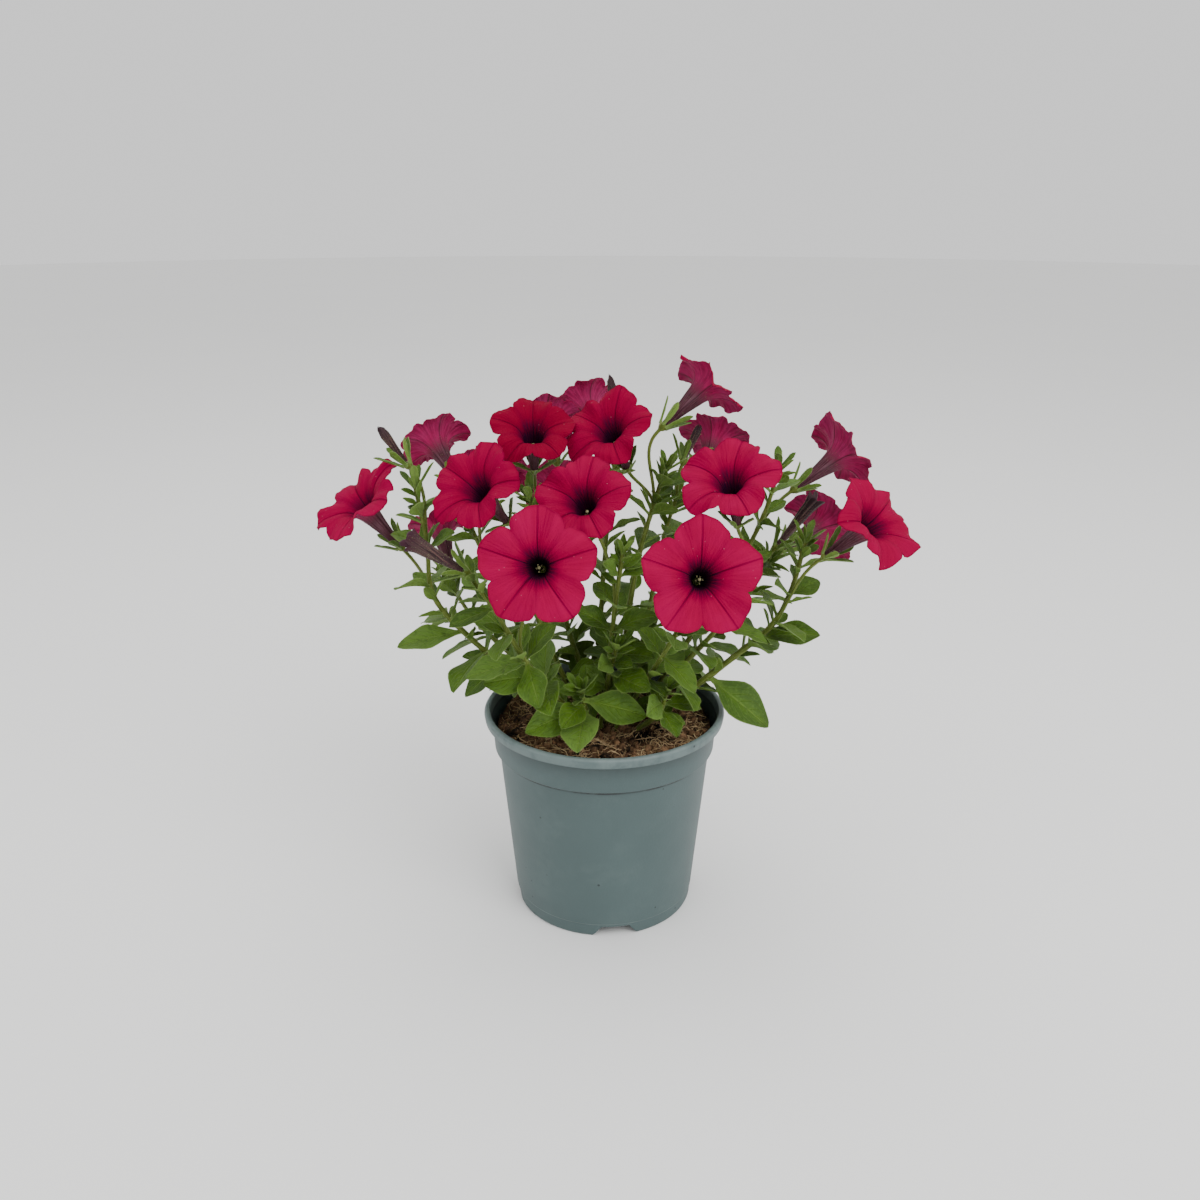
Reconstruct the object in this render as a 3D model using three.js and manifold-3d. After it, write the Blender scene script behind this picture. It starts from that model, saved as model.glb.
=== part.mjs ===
// A petunia in a plastic nursery pot: pot, soil, leafy stems, trumpet blooms and closed buds.
// Millimetres and degrees, +Z up, origin at the middle of the pot's foot. Azimuth 0 is +X, 90 is +Y.
import * as THREE from "three";
import { mergeVertices } from "three/addons/utils/BufferGeometryUtils.js";
import Module from "manifold-3d";

const wasm = await Module();
wasm.setup();

// Driving dimensions of the pot.
const RIM_RADIUS = 65;
const POT_HEIGHT = 114;
const LIP_HEIGHT = 5.4;
const LIP_REACH = 4.2;
const COLLAR_HEIGHT = 21.5;
const COLLAR_RADIUS = 59.6;
const BODY_TOP_RADIUS = 57.4;
const FOOT_RADIUS = 48.8;
const FOOT_HEIGHT = 7.5;
const WALL = 1.5;
const FLOOR = 2.2;
const POT_SIDES = 36;

// The foot's notches and the floor's drain holes.
const NOTCH = { count: 4, azimuth: -83, width: 24, topWidth: 14.8, height: 6 };
const DRAIN = { count: 8, ring: 33, radius: 4, middle: 5, sides: 6 };

// Driving dimensions of the soil.
const SOIL_LEVEL = 106;
const SOIL_GAP = 0.6;
const SOIL_SIDES = 20;
const ROOT_DEPTH = 11;
const HOLE_GAP = 0.7;

// What stems, leaves and flowers have in common.
const SIDES = 5;
const NODE_HEIGHT = 1.9;
const STALK_RADIUS = 0.85;
const CUP_RADIUS = 2.4;
const CUP_GAP = 0.5;
const BLADE = 1.2;
const CLEARANCE = 0.65;
const NODE_TURN = 97;
const PAIR = 144;
const LOBES = 5;
const TUBE_SHARE = 0.6;
const TUBE_BASE = 1.5;
const TUBE_MOUTH = 4.3;
const PETAL = 0.8;
const SINUS = 0.16;

const COLOURS = {
  pot: { color: 0x6f8386, roughness: 0.55, metalness: 0 },
  soil: { color: 0x4a2f20, roughness: 1, metalness: 0 },
  green: { color: 0x4f7a2c, roughness: 0.6, metalness: 0 },
  bloom: { color: 0xc8004f, roughness: 0.6, metalness: 0 },
  bud: { color: 0x4a2433, roughness: 0.6, metalness: 0 },
};

// Each leafy stem: where it leaves the soil, the points it passes, its radius at the soil and at the tip,
// its leaves, the number of small leaves round its tip, and the flowers and buds that fork from it.
// A fork is the number of the point it leaves from. Bare is the share of the stem below its first leaves.
// Leaves placed singly give point, heading and size, and a roll where their face is turned.
const STEMS = [
  {
    name: "left_low",
    root: [-16, -5],
    route: [[-40, -15, 133], [-66, -22, 159], [-86, -22, 184], [-89, -17, 212], [-94, -12, 238]],
    girth: [2.1, 1.2],
    leaves: { count: 10, big: 29, small: 19, turn: 72, bare: 0.27 },
    tip: 4,
    blooms: [{ name: "far_left", fork: 4, seat: [-106, -1, 205], faces: [-149, 52], radius: 25.5 }],
    buds: [{ name: "left", fork: 5, seat: [-98, -12, 251], faces: [-165, 56], length: 22, girth: 2.2 }],
    single: [
      { point: 3.25, heading: [-168, -6], length: 34, width: 15, droop: 0.06, roll: -25 },
      { point: 2.5, heading: [-163, -34], length: 24, width: 13, droop: 0.1, roll: -20 },
    ],
  },
  {
    name: "left_front",
    root: [-11, -15],
    route: [[-26, -30, 134], [-40, -41, 158], [-53, -50, 187], [-63, -53, 204]],
    girth: [2.0, 1.2],
    leaves: { count: 10, big: 32, small: 20, turn: 100, bare: 0.24 },
    tip: 0,
    blooms: [{ name: "front_left", fork: 3, seat: [-29, -59, 211], faces: [-92, 20], radius: 26.2 }],
    buds: [{ name: "opening", fork: 5, seat: [-67, -55, 209], faces: [-171, 34], length: 31, girth: 3.4 }],
    single: [
      { point: 2.9, heading: [-70, -34], length: 24, width: 16, droop: 0.1 },
      { point: 2.5, heading: [-172, 2], length: 28, width: 17, droop: 0.1, roll: -25 },
    ],
  },
  {
    name: "left_back",
    root: [-19, 9],
    route: [[-40, 15, 140], [-60, 22, 180], [-74, 28, 212]],
    girth: [1.9, 1.2],
    leaves: { count: 10, big: 34, small: 19, turn: 14 },
    tip: 3,
    blooms: [
      { name: "back_left", fork: 4, seat: [-80, 44, 227], faces: [128, 37], radius: 20.5 },
      { name: "back_left_hidden", fork: 3, seat: [-64, 22, 219], faces: [80, 30], radius: 19 },
    ],
    buds: [],
    single: [],
  },
  {
    name: "left_middle",
    root: [-12, 0],
    route: [[-25, -4, 140], [-38, -10, 178], [-43, -12, 206]],
    girth: [1.8, 1.2],
    leaves: { count: 6, big: 32, small: 18, turn: 150 },
    tip: 3,
    blooms: [{ name: "middle_left", fork: 3, seat: [-49, -21, 224], faces: [-124, 44], radius: 23 }],
    buds: [],
    single: [],
  },
  {
    name: "left_rear",
    root: [-23, 19],
    route: [[-48, 27, 128], [-73, 36, 150], [-88, 43, 172]],
    girth: [1.9, 1.2],
    leaves: { count: 10, big: 36, small: 20, turn: 70 },
    tip: 4,
    blooms: [{ name: "rear_left", fork: 3, seat: [-86, 46, 174], faces: [114, 50], radius: 19 }],
    buds: [],
    single: [],
  },
  {
    name: "centre_left",
    root: [-5, 8],
    route: [[-18, 8, 150], [-30, 6, 196], [-38, 4, 228]],
    girth: [1.8, 1.15],
    leaves: { count: 10, big: 31, small: 17, turn: 200 },
    tip: 4,
    blooms: [
      { name: "top_left", fork: 3, seat: [-36, 9, 243], faces: [-88, 52], radius: 20.8 },
      { name: "top_left_hidden", fork: 3, seat: [-25, 15, 246], faces: [104, 30], radius: 18.5 },
    ],
    buds: [],
    single: [],
  },
  {
    name: "centre",
    root: [2, -5],
    route: [[3, -14, 146], [5, -19, 174], [9, -18, 206]],
    girth: [2.0, 1.2],
    leaves: { count: 10, big: 33, small: 18, turn: 20 },
    tip: 3,
    blooms: [{ name: "middle", fork: 3, seat: [-4, -27, 220], faces: [-108, 44], radius: 23.5 }],
    buds: [],
    single: [],
  },
  {
    name: "centre_right",
    root: [9, 3],
    route: [[11, 1, 150], [17, 1, 194], [25, 4, 224], [31, 6, 243]],
    girth: [2.0, 1.2],
    leaves: { count: 10, big: 32, small: 17, turn: 60 },
    tip: 4,
    blooms: [
      { name: "top_middle", fork: 4, seat: [11, 9, 244], faces: [-118, 49], radius: 22.5 },
      { name: "top_right", fork: 4, seat: [31, 12, 265], faces: [24, 38], radius: 20.5 },
    ],
    buds: [],
    single: [],
  },
  {
    name: "rear_centre",
    root: [-1, 19],
    route: [[-2, 26, 150], [1, 34, 196], [5, 39, 234]],
    girth: [1.9, 1.15],
    leaves: { count: 10, big: 32, small: 17, turn: 110 },
    tip: 3,
    blooms: [{ name: "top_back", fork: 3, seat: [2, 52, 248], faces: [121, 32], radius: 19.5 }],
    buds: [{ name: "top", fork: 4, seat: [9, 36, 256], faces: [150, 76], length: 31, girth: 2.2 }],
    single: [],
  },
  {
    name: "right_back",
    root: [14, 13],
    route: [[22, 16, 150], [31, 18, 200], [38, 22, 224]],
    girth: [1.8, 1.15],
    leaves: { count: 10, big: 32, small: 17, turn: 160 },
    tip: 3,
    blooms: [{ name: "back_right", fork: 4, seat: [52, 36, 230], faces: [68, 36], radius: 20 }],
    buds: [{ name: "slim", fork: 4, seat: [42, 19, 246], faces: [40, 58], length: 19, girth: 2.0 }],
    single: [],
  },
  {
    name: "right_middle",
    root: [15, -6],
    route: [[38, -14, 140], [62, -19, 172], [72, -16, 200]],
    girth: [2.0, 1.2],
    leaves: { count: 10, big: 32, small: 19, turn: 210, bare: 0.2 },
    tip: 0,
    blooms: [{ name: "middle_right", fork: 4, seat: [66, -15, 221], faces: [-112, 56], radius: 24.5 }],
    buds: [],
    single: [],
  },
  {
    name: "right_high",
    root: [20, 3],
    route: [[46, 7, 150], [70, 11, 188], [83, 10, 218], [89, 8, 242]],
    girth: [2.0, 1.2],
    leaves: { count: 10, big: 33, small: 17, turn: 30 },
    tip: 4,
    blooms: [{ name: "high_right", fork: 3, seat: [101, 20, 230], faces: [24, 29], radius: 23.5 }],
    buds: [],
    single: [],
  },
  {
    name: "right_rear",
    root: [24, 12],
    route: [[52, 20, 138], [76, 20, 168], [88, 18, 190]],
    girth: [1.9, 1.2],
    leaves: { count: 10, big: 35, small: 19, turn: 80 },
    tip: 4,
    blooms: [{ name: "rear_right", fork: 3, seat: [97, 30, 193], faces: [36, 16], radius: 23 }],
    buds: [{ name: "wilting", fork: 4, seat: [92, 13, 201], faces: [-12, 55], length: 33, girth: 3.0 }],
    single: [],
  },
  {
    name: "right_low",
    root: [28, -4],
    route: [[46, -7, 126], [69, -10, 147], [87, -15, 167], [96, -15, 188], [101, -13, 210]],
    girth: [2.4, 1.2],
    leaves: { count: 10, big: 30, small: 19, turn: 140, bare: 0.2 },
    tip: 4,
    blooms: [{ name: "far_right", fork: 4, seat: [109, -33, 210], faces: [-39, 41], radius: 23.5 }],
    buds: [],
    single: [
      { point: 2.4, heading: [-22, -32], length: 40, width: 23, droop: 0.06, roll: 34 },
      { point: 3.6, heading: [-8, 8], length: 31, width: 17, droop: 0.06, roll: 22 },
    ],
  },
  {
    name: "front_right",
    root: [7, -14],
    route: [[22, -25, 140], [36, -35, 170], [41, -38, 188]],
    girth: [1.9, 1.2],
    leaves: { count: 10, big: 31, small: 20, turn: 250, bare: 0.24 },
    tip: 0,
    blooms: [{ name: "front_right", fork: 4, seat: [43, -54, 203], faces: [-90, 22], radius: 26.6 }],
    buds: [],
    single: [],
  },
  {
    name: "front_shoot",
    root: [-4, -20],
    route: [[-9, -27, 122], [-12, -33, 137]],
    girth: [1.7, 1.2],
    leaves: { count: 2, big: 26, small: 22, turn: 60, bare: 0.4 },
    tip: 4,
    blooms: [],
    buds: [],
    single: [
      { point: 2.1, heading: [-96, -16], length: 40, width: 21, droop: 0.12 },
      { point: 2.6, heading: [-30, -8], length: 33, width: 17, droop: 0.08, roll: 20 },
      { point: 2.2, heading: [-154, -4], length: 34, width: 18, droop: 0.12, roll: -15 },
    ],
  },
  {
    name: "front_right_shoot",
    root: [18, -20],
    route: [[28, -28, 122], [32, -33, 138]],
    girth: [1.7, 1.2],
    leaves: { count: 2, big: 24, small: 20, turn: 60, bare: 0.4 },
    tip: 4,
    blooms: [],
    buds: [],
    single: [
      { point: 2.5, heading: [-142, -14], length: 25, width: 15, droop: 0.1, roll: -15 },
      { point: 2.2, heading: [-88, -18], length: 19, width: 13, droop: 0.1 },
    ],
  },
  {
    name: "front_middle_shoot",
    root: [-2, -13],
    route: [[1, -18, 132], [6, -26, 158]],
    girth: [1.7, 1.2],
    leaves: { count: 4, big: 28, small: 20, turn: 330, bare: 0.3 },
    tip: 4,
    blooms: [],
    buds: [],
    single: [{ point: 2.4, heading: [-45, 2], length: 28, width: 17, droop: 0.1 }],
  },
  {
    name: "rear_shoot",
    root: [-9, 29],
    route: [[-18, 42, 132], [-25, 54, 160], [-28, 58, 186]],
    girth: [1.9, 1.2],
    leaves: { count: 10, big: 38, small: 20, turn: 90 },
    tip: 5,
    blooms: [{ name: "rear_low", fork: 3, seat: [-24, 65, 196], faces: [100, 39], radius: 23 }],
    buds: [],
    single: [],
  },
  {
    name: "rear_right_shoot",
    root: [11, 28],
    route: [[24, 42, 132], [36, 56, 160], [42, 62, 184]],
    girth: [1.9, 1.2],
    leaves: { count: 10, big: 38, small: 20, turn: 300 },
    tip: 5,
    blooms: [],
    buds: [],
    single: [],
  },
];

// Turn, slope and size that a blade tries in this order until it stands clear of its neighbours.
const TRIES = [
  [0, 0, 1], [22, 0, 1], [-22, 0, 1], [0, 16, 0.95], [0, -18, 0.95], [45, 0, 0.95], [-45, 0, 0.95],
  [70, 10, 0.85], [-70, 10, 0.85], [110, 0, 0.8], [180, 0, 0.8], [-110, 0, 0.75], [25, -20, 0.7], [-25, 20, 0.7],
  [0, 0, 0.6], [90, 0, 0.55], [-90, 0, 0.55], [150, 0, 0.5],
];

// Vectors and angles.
const radians = THREE.MathUtils.degToRad;
const UP = new THREE.Vector3(0, 0, 1);
const DOWN = new THREE.Vector3(0, 0, -1);
const BACK = new THREE.Vector3(0, 1, 0);

function point(list) {
  return new THREE.Vector3(list[0], list[1], list[2]);
}

function moved(start, ...steps) {
  const end = start.clone();
  for (const [direction, length] of steps) end.addScaledVector(direction, length);
  return end;
}

function heading([azimuth, elevation]) {
  const flat = Math.cos(radians(elevation));
  return new THREE.Vector3(
    flat * Math.cos(radians(azimuth)),
    flat * Math.sin(radians(azimuth)),
    Math.sin(radians(elevation)),
  );
}

// The unit part of one direction that stands square to another.
function squareTo(axis, direction) {
  return moved(direction, [axis, -direction.dot(axis)]).normalize();
}

function mix(a, b, share) {
  return a + (b - a) * share;
}

// Seeded draws from 0 to 1, the same on every run.
function drawsFrom(seed) {
  let state = seed >>> 0;
  return () => {
    state = (state + 0x6d2b79f5) >>> 0;
    let t = Math.imul(state ^ (state >>> 15), state | 1);
    t ^= t + Math.imul(t ^ (t >>> 7), t | 61);
    return ((t ^ (t >>> 14)) >>> 0) / 4294967296;
  };
}

// A closed surface through rings of points. A ring of one point is a tip, and neighbours may differ two to one.
function loft(rings) {
  const positions = rings.flat().flatMap((p) => [p.x, p.y, p.z]);
  const starts = rings.map((ring, i) => rings.slice(0, i).reduce((sum, r) => sum + r.length, 0));
  const faces = [];
  for (let i = 0; i + 1 < rings.length; i += 1) band(faces, starts[i], rings[i].length, starts[i + 1], rings[i + 1].length);
  const last = rings.length - 1;
  for (let k = 1; k + 1 < rings[0].length; k += 1) faces.push(starts[0], starts[0] + k + 1, starts[0] + k);
  for (let k = 1; k + 1 < rings[last].length; k += 1) faces.push(starts[last], starts[last] + k, starts[last] + k + 1);
  return facingOut(positions, faces);
}

// The triangles between two rings of the same count, of one count and its double, or of a ring and a tip.
function band(faces, a, countA, b, countB) {
  if (countA === 1) for (let k = 0; k < countB; k += 1) faces.push(a, b + ((k + 1) % countB), b + k);
  else if (countB === 1) for (let k = 0; k < countA; k += 1) faces.push(b, a + k, a + ((k + 1) % countA));
  else if (countB === 2 * countA) {
    for (let k = 0; k < countA; k += 1) {
      const next = (k + 1) % countA;
      faces.push(a + k, b + 2 * k + 1, b + 2 * k);
      faces.push(a + k, a + next, b + 2 * k + 1);
      faces.push(a + next, b + ((2 * k + 2) % countB), b + 2 * k + 1);
    }
  } else if (countA === 2 * countB) {
    for (let k = 0; k < countB; k += 1) {
      const next = (k + 1) % countB;
      faces.push(b + k, a + 2 * k, a + 2 * k + 1);
      faces.push(b + k, a + 2 * k + 1, b + next);
      faces.push(b + next, a + 2 * k + 1, a + ((2 * k + 2) % countA));
    }
  } else {
    for (let k = 0; k < countA; k += 1) {
      const next = (k + 1) % countA;
      faces.push(a + k, a + next, b + next, a + k, b + next, b + k);
    }
  }
}

// Turns every face round if the surface encloses a negative volume.
function facingOut(positions, faces) {
  const at = (i) => new THREE.Vector3(positions[3 * i], positions[3 * i + 1], positions[3 * i + 2]);
  let volume = 0;
  for (let i = 0; i < faces.length; i += 3) volume += at(faces[i]).dot(at(faces[i + 1]).cross(at(faces[i + 2])));
  if (volume < 0) faces.reverse();
  const geometry = new THREE.BufferGeometry();
  geometry.setAttribute("position", new THREE.Float32BufferAttribute(positions, 3));
  geometry.setIndex(faces);
  return geometry;
}

// Between three.js geometry and solids that can be joined and cut.
function solidOf(geometry) {
  const bare = geometry.clone();
  bare.deleteAttribute("normal");
  bare.deleteAttribute("uv");
  const merged = mergeVertices(bare, 1e-4);
  const vertProperties = new Float32Array(merged.attributes.position.array);
  return new wasm.Manifold(new wasm.Mesh({ numProp: 3, vertProperties, triVerts: new Uint32Array(merged.index.array) }));
}

function geometryOf(solid) {
  const mesh = solid.getMesh();
  const geometry = new THREE.BufferGeometry();
  geometry.setAttribute("position", new THREE.Float32BufferAttribute(mesh.vertProperties, 3));
  geometry.setIndex([...mesh.triVerts]);
  return geometry;
}

function joined(solids) {
  return solids.reduce((whole, solid) => whole.add(solid));
}

// The largest body of a solid, without scraps that a join has cut loose.
function wholeOf(solid) {
  return solid.decompose().sort((a, b) => b.volume() - a.volume())[0];
}

function turned(profile, sides) {
  const lathe = new THREE.LatheGeometry(profile.map(([r, z]) => new THREE.Vector2(r, z)), sides);
  return lathe.rotateX(Math.PI / 2);
}

// The pot: a tapered shell with a collar, a lip, a floor raised on a foot ring, notches and drain holes.
function bodyRadius(z) {
  return mix(FOOT_RADIUS, BODY_TOP_RADIUS, z / (POT_HEIGHT - COLLAR_HEIGHT));
}

function makePot() {
  const step = POT_HEIGHT - COLLAR_HEIGHT;
  const lipBottom = POT_HEIGHT - LIP_HEIGHT;
  const collarTop = RIM_RADIUS - LIP_REACH;
  const floorTop = FOOT_HEIGHT + FLOOR;
  const profile = [
    [0, FOOT_HEIGHT],
    [FOOT_RADIUS - 3.6, FOOT_HEIGHT],
    [FOOT_RADIUS - 3, 0],
    [FOOT_RADIUS - 0.6, 0],
    [FOOT_RADIUS, 1.4],
    [bodyRadius(step) - 0.1, step - 0.6],
    [COLLAR_RADIUS, step + 0.4],
    [collarTop, lipBottom],
    [RIM_RADIUS - 0.4, lipBottom],
    [RIM_RADIUS, POT_HEIGHT - 1.2],
    [RIM_RADIUS - 1, POT_HEIGHT],
    [RIM_RADIUS - 3.2, POT_HEIGHT],
    [COLLAR_RADIUS - WALL, step + 1.6],
    [bodyRadius(step) - WALL, step - 1.4],
    [bodyRadius(floorTop) - WALL, floorTop + 2],
    [bodyRadius(floorTop) - WALL - 1.6, floorTop],
    [0, floorTop],
  ];
  let pot = solidOf(turned(profile, POT_SIDES));
  for (let i = 0; i < NOTCH.count; i += 1) pot = pot.subtract(notch(NOTCH.azimuth + (i * 360) / NOTCH.count));
  for (let i = 0; i < DRAIN.count; i += 1) {
    const around = radians(((i + 0.5) * 360) / DRAIN.count);
    pot = pot.subtract(drainHole(DRAIN.ring * Math.cos(around), DRAIN.ring * Math.sin(around), DRAIN.radius));
  }
  return pot.subtract(drainHole(0, 0, DRAIN.middle));
}

function notch(azimuth) {
  const half = NOTCH.width / 2;
  const halfTop = NOTCH.topWidth / 2;
  const outline = new THREE.Shape([
    new THREE.Vector2(-half - 2, -2.4),
    new THREE.Vector2(half + 2, -2.4),
    new THREE.Vector2(halfTop, NOTCH.height),
    new THREE.Vector2(-halfTop, NOTCH.height),
  ]);
  const block = new THREE.ExtrudeGeometry(outline, { depth: 12, bevelEnabled: false });
  block.rotateX(Math.PI / 2).translate(0, -FOOT_RADIUS + 7, 0);
  block.rotateZ(radians(azimuth + 90));
  return solidOf(block);
}

function drainHole(x, y, radius) {
  const hole = new THREE.CylinderGeometry(radius, radius, FLOOR + 4, DRAIN.sides);
  return solidOf(hole.rotateX(Math.PI / 2).translate(x, y, FOOT_HEIGHT + FLOOR / 2));
}

// The soil: it fills the pot to just under the rim, with a lumpy top and a plain hole for each stem.
function soilHeight(x, y) {
  const lumps = Math.sin(0.17 * x + 0.6) * Math.cos(0.14 * y - 0.4) + 0.6 * Math.sin(0.31 * y + 0.12 * x);
  return SOIL_LEVEL + 1.1 * lumps - 1.5 * ((x * x + y * y) / (COLLAR_RADIUS * COLLAR_RADIUS));
}

function makeSoil() {
  const step = POT_HEIGHT - COLLAR_HEIGHT;
  const floorTop = FOOT_HEIGHT + FLOOR;
  const ring = (radius, level) =>
    Array.from({ length: SOIL_SIDES }, (_, k) => {
      const around = (k * 2 * Math.PI) / SOIL_SIDES;
      const x = radius * Math.cos(around);
      const y = radius * Math.sin(around);
      return new THREE.Vector3(x, y, level ?? soilHeight(x, y));
    });
  const wallGap = WALL + SOIL_GAP;
  const rings = [
    [new THREE.Vector3(0, 0, floorTop + SOIL_GAP)],
    ring(bodyRadius(floorTop) - wallGap - 1.8, floorTop + SOIL_GAP),
    ring(bodyRadius(floorTop) - wallGap, floorTop + 3),
    ring(bodyRadius(step) - wallGap - 0.2, step - 1.6),
    ring(COLLAR_RADIUS - wallGap - 0.1, step + 2),
    ring(COLLAR_RADIUS - wallGap + 0.3),
    ring(44),
    ring(26),
    [new THREE.Vector3(0, 0, soilHeight(0, 0))],
  ];
  let soil = solidOf(loft(rings));
  for (const stem of STEMS) {
    const radius = stem.girth[0] + HOLE_GAP;
    const hole = new THREE.CylinderGeometry(radius, radius, 20, 6);
    hole.rotateX(Math.PI / 2).translate(stem.root[0], stem.root[1], SOIL_LEVEL - ROOT_DEPTH - 0.6 + 10);
    soil = soil.subtract(solidOf(hole));
  }
  return soil;
}

// Stems: the curve starts upright where the stem leaves the soil, and passes the points of its route.
function stemCurve(stem) {
  const foot = [stem.root[0], stem.root[1], SOIL_LEVEL + 3.5];
  return new THREE.CatmullRomCurve3([foot, ...stem.route].map(point), false, "catmullrom", 0.5);
}

// A place on a stem is a number: 1 where it leaves the soil, 2 at the first point of its route, and so on.
function shareOf(stem, number) {
  return Math.min(Math.max((number - 1) / stem.route.length, 0), 1);
}

// Directions at a place on a curve: along it, and two square to it.
function frameOn(curve, share) {
  const along = curve.getTangent(share);
  const side = new THREE.Vector3().crossVectors(along, BACK).normalize();
  const other = new THREE.Vector3().crossVectors(along, side);
  return { centre: curve.getPoint(share), along, side, other };
}

function ringOn(curve, share, radius, turn) {
  const { centre, side, other } = frameOn(curve, share);
  return Array.from({ length: SIDES }, (_, k) => {
    const angle = radians(turn + (k * 360) / SIDES);
    return moved(centre, [side, radius * Math.cos(angle)], [other, radius * Math.sin(angle)]);
  });
}

function levelRing([x, y], z, radius, turn) {
  return Array.from({ length: SIDES }, (_, k) => {
    const angle = radians(turn + (k * 360) / SIDES);
    return new THREE.Vector3(x - radius * Math.cos(angle), y - radius * Math.sin(angle), z);
  });
}

// The plain rod of a stem, which only other blades have to stand clear of.
function stemRod(stem) {
  const steps = 2 * stem.route.length;
  const rings = [levelRing(stem.root, SOIL_LEVEL - ROOT_DEPTH, stem.girth[0], 0)];
  for (let i = 0; i <= steps; i += 1) {
    rings.push(ringOn(stem.curve, i / steps, mix(stem.girth[0], stem.girth[1], i / steps), 0));
  }
  return solidOf(loft(rings));
}

// A flower's own directions: along its axis, and two square to it, the first as near to upwards as can be.
function flowerFrame(flower) {
  const axis = heading(flower.faces);
  const up = squareTo(axis, UP);
  const side = new THREE.Vector3().crossVectors(axis, up);
  return { seat: point(flower.seat), axis, up, side };
}

function spoke(frame, angle) {
  return moved(new THREE.Vector3(), [frame.up, Math.cos(angle)], [frame.side, Math.sin(angle)]);
}

function flowerRing(frame, height, radius) {
  return Array.from({ length: SIDES }, (_, k) =>
    moved(frame.seat, [frame.axis, height], [spoke(frame, radians((k * 360) / SIDES)), radius]),
  );
}

// A flower's stalk leaves the stem along it, and ends in line with the flower.
function stalkCurve(stem, flower) {
  const share = shareOf(stem, flower.fork);
  const along = stem.curve.getTangent(share);
  const start = moved(stem.curve.getPoint(share), [along, -1.7 - 0.9 * flower.order]);
  const axis = heading(flower.faces);
  const end = moved(point(flower.seat), [axis, -4.6]);
  const reach = start.distanceTo(end);
  return new THREE.CubicBezierCurve3(start, moved(start, [along, reach * 0.4]), moved(end, [axis, -reach * 0.4]), end);
}

// The rings of a stalk, turned so that they meet the flower's cup without a twist.
function stalkRings(stem, flower, frame) {
  const curve = stalkCurve(stem, flower);
  const steps = curve.getLength() < 20 ? 3 : 4;
  const rings = [];
  let up = frame.up;
  for (let i = steps; i >= 0; i -= 1) {
    const along = curve.getTangent(i / steps);
    up = squareTo(along, up);
    const local = { seat: curve.getPoint(i / steps), axis: along, up, side: new THREE.Vector3().crossVectors(along, up) };
    rings.unshift(flowerRing(local, 0, STALK_RADIUS));
  }
  return rings;
}

// Under each flower: its stalk, the calyx's cup with the sepals on its walls, and in a bloom the pistil.
function stalkSolid(stem, flower, frame, limbs) {
  const rings = stalkRings(stem, flower, frame);
  const wall = rings.length;
  rings.push(flowerRing(frame, -2.6, CUP_RADIUS * 0.92), flowerRing(frame, -CUP_GAP, CUP_RADIUS));
  if (flower.radius) {
    const top = flower.length * TUBE_SHARE;
    rings.push(flowerRing(frame, -CUP_GAP + 0.25, 0.5), flowerRing(frame, top + 1, 1));
  }
  return solidOf(branched(rings, limbs.map((limb) => ({ ...limb, band: wall }))));
}

// A closed surface through rings of one count. A limb grows out of one wall of a band, through its own rings.
function branched(rings, limbs) {
  const count = rings[0].length;
  const points = rings.flat();
  const faces = [];
  const quad = (a, b, c, d) => faces.push(a, b, c, a, c, d);
  const at = (i, k) => i * count + (k % count);
  const top = rings.length - 1;
  for (let k = 1; k + 1 < count; k += 1) faces.push(0, k + 1, k, at(top, 0), at(top, k), at(top, k + 1));
  for (let i = 0; i < top; i += 1) {
    for (let k = 0; k < count; k += 1) {
      const wall = [at(i, k), at(i, k + 1), at(i + 1, k + 1), at(i + 1, k)];
      const limb = limbs.find((one) => one.band === i && one.side === k);
      if (limb) limbFaces(points, faces, wall, limb.rings);
      else quad(...wall);
    }
  }
  return facingOut(points.flatMap((p) => [p.x, p.y, p.z]), faces);
}

// The faces of a limb, from the four corners of its wall through its rings to its tip.
function limbFaces(points, faces, wall, rings) {
  let base = wall;
  for (const ring of rings) {
    const next = ring.map((p) => points.push(p) - 1);
    base.forEach((from, j) => {
      const to = base[(j + 1) % 4];
      if (next.length === 1) faces.push(from, to, next[0]);
      else faces.push(to, next[(j + 1) % 4], next[j], to, next[j], from);
    });
    base = next;
  }
}

// Blades: leaves, tip leaves and sepals. Each is a folded blade with a midrib, widest past its middle.
function bladeWidth(share) {
  const curve = Math.max(Math.sin(Math.PI * Math.pow(share, 1.12)), 0);
  const blunt = mix(1.35, 0.6, THREE.MathUtils.smoothstep(share, 0.3, 0.6));
  return Math.max(share < 0.5 ? 0.12 : 0, Math.pow(curve, blunt));
}

// A ring of a blade: keel, right edge, face, left edge.
function bladeRing(leaf, share, margin) {
  const fall = leaf.droop * leaf.length;
  const middle = moved(leaf.base, [leaf.along, (leaf.length + margin) * share], [DOWN, fall * share * share]);
  if (share === 1) return [middle];
  const along = moved(new THREE.Vector3(), [leaf.along, leaf.length], [DOWN, 2 * fall * share]).normalize();
  const side = new THREE.Vector3().crossVectors(leaf.along, leaf.face).normalize();
  const face = new THREE.Vector3().crossVectors(side, along).normalize();
  const half = (leaf.width / 2) * bladeWidth(share) + margin;
  const rise = leaf.fold * half;
  const thick = BLADE / 2 + margin;
  return [
    moved(middle, [face, -thick]),
    moved(middle, [side, -half], [face, rise]),
    moved(middle, [face, thick]),
    moved(middle, [side, half], [face, rise]),
  ];
}

// The rings of a blade beyond its base, and a closed blade with a margin round it.
function bladeRings(leaf) {
  return leaf.shares.map((share) => bladeRing(leaf, share, 0));
}

function bladeSolid(leaf, margin, from) {
  const shares = [from, ...leaf.shares.filter((share) => share > from + 0.02)];
  return solidOf(loft(shares.map((share) => bladeRing(leaf, share, margin))));
}

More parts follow.
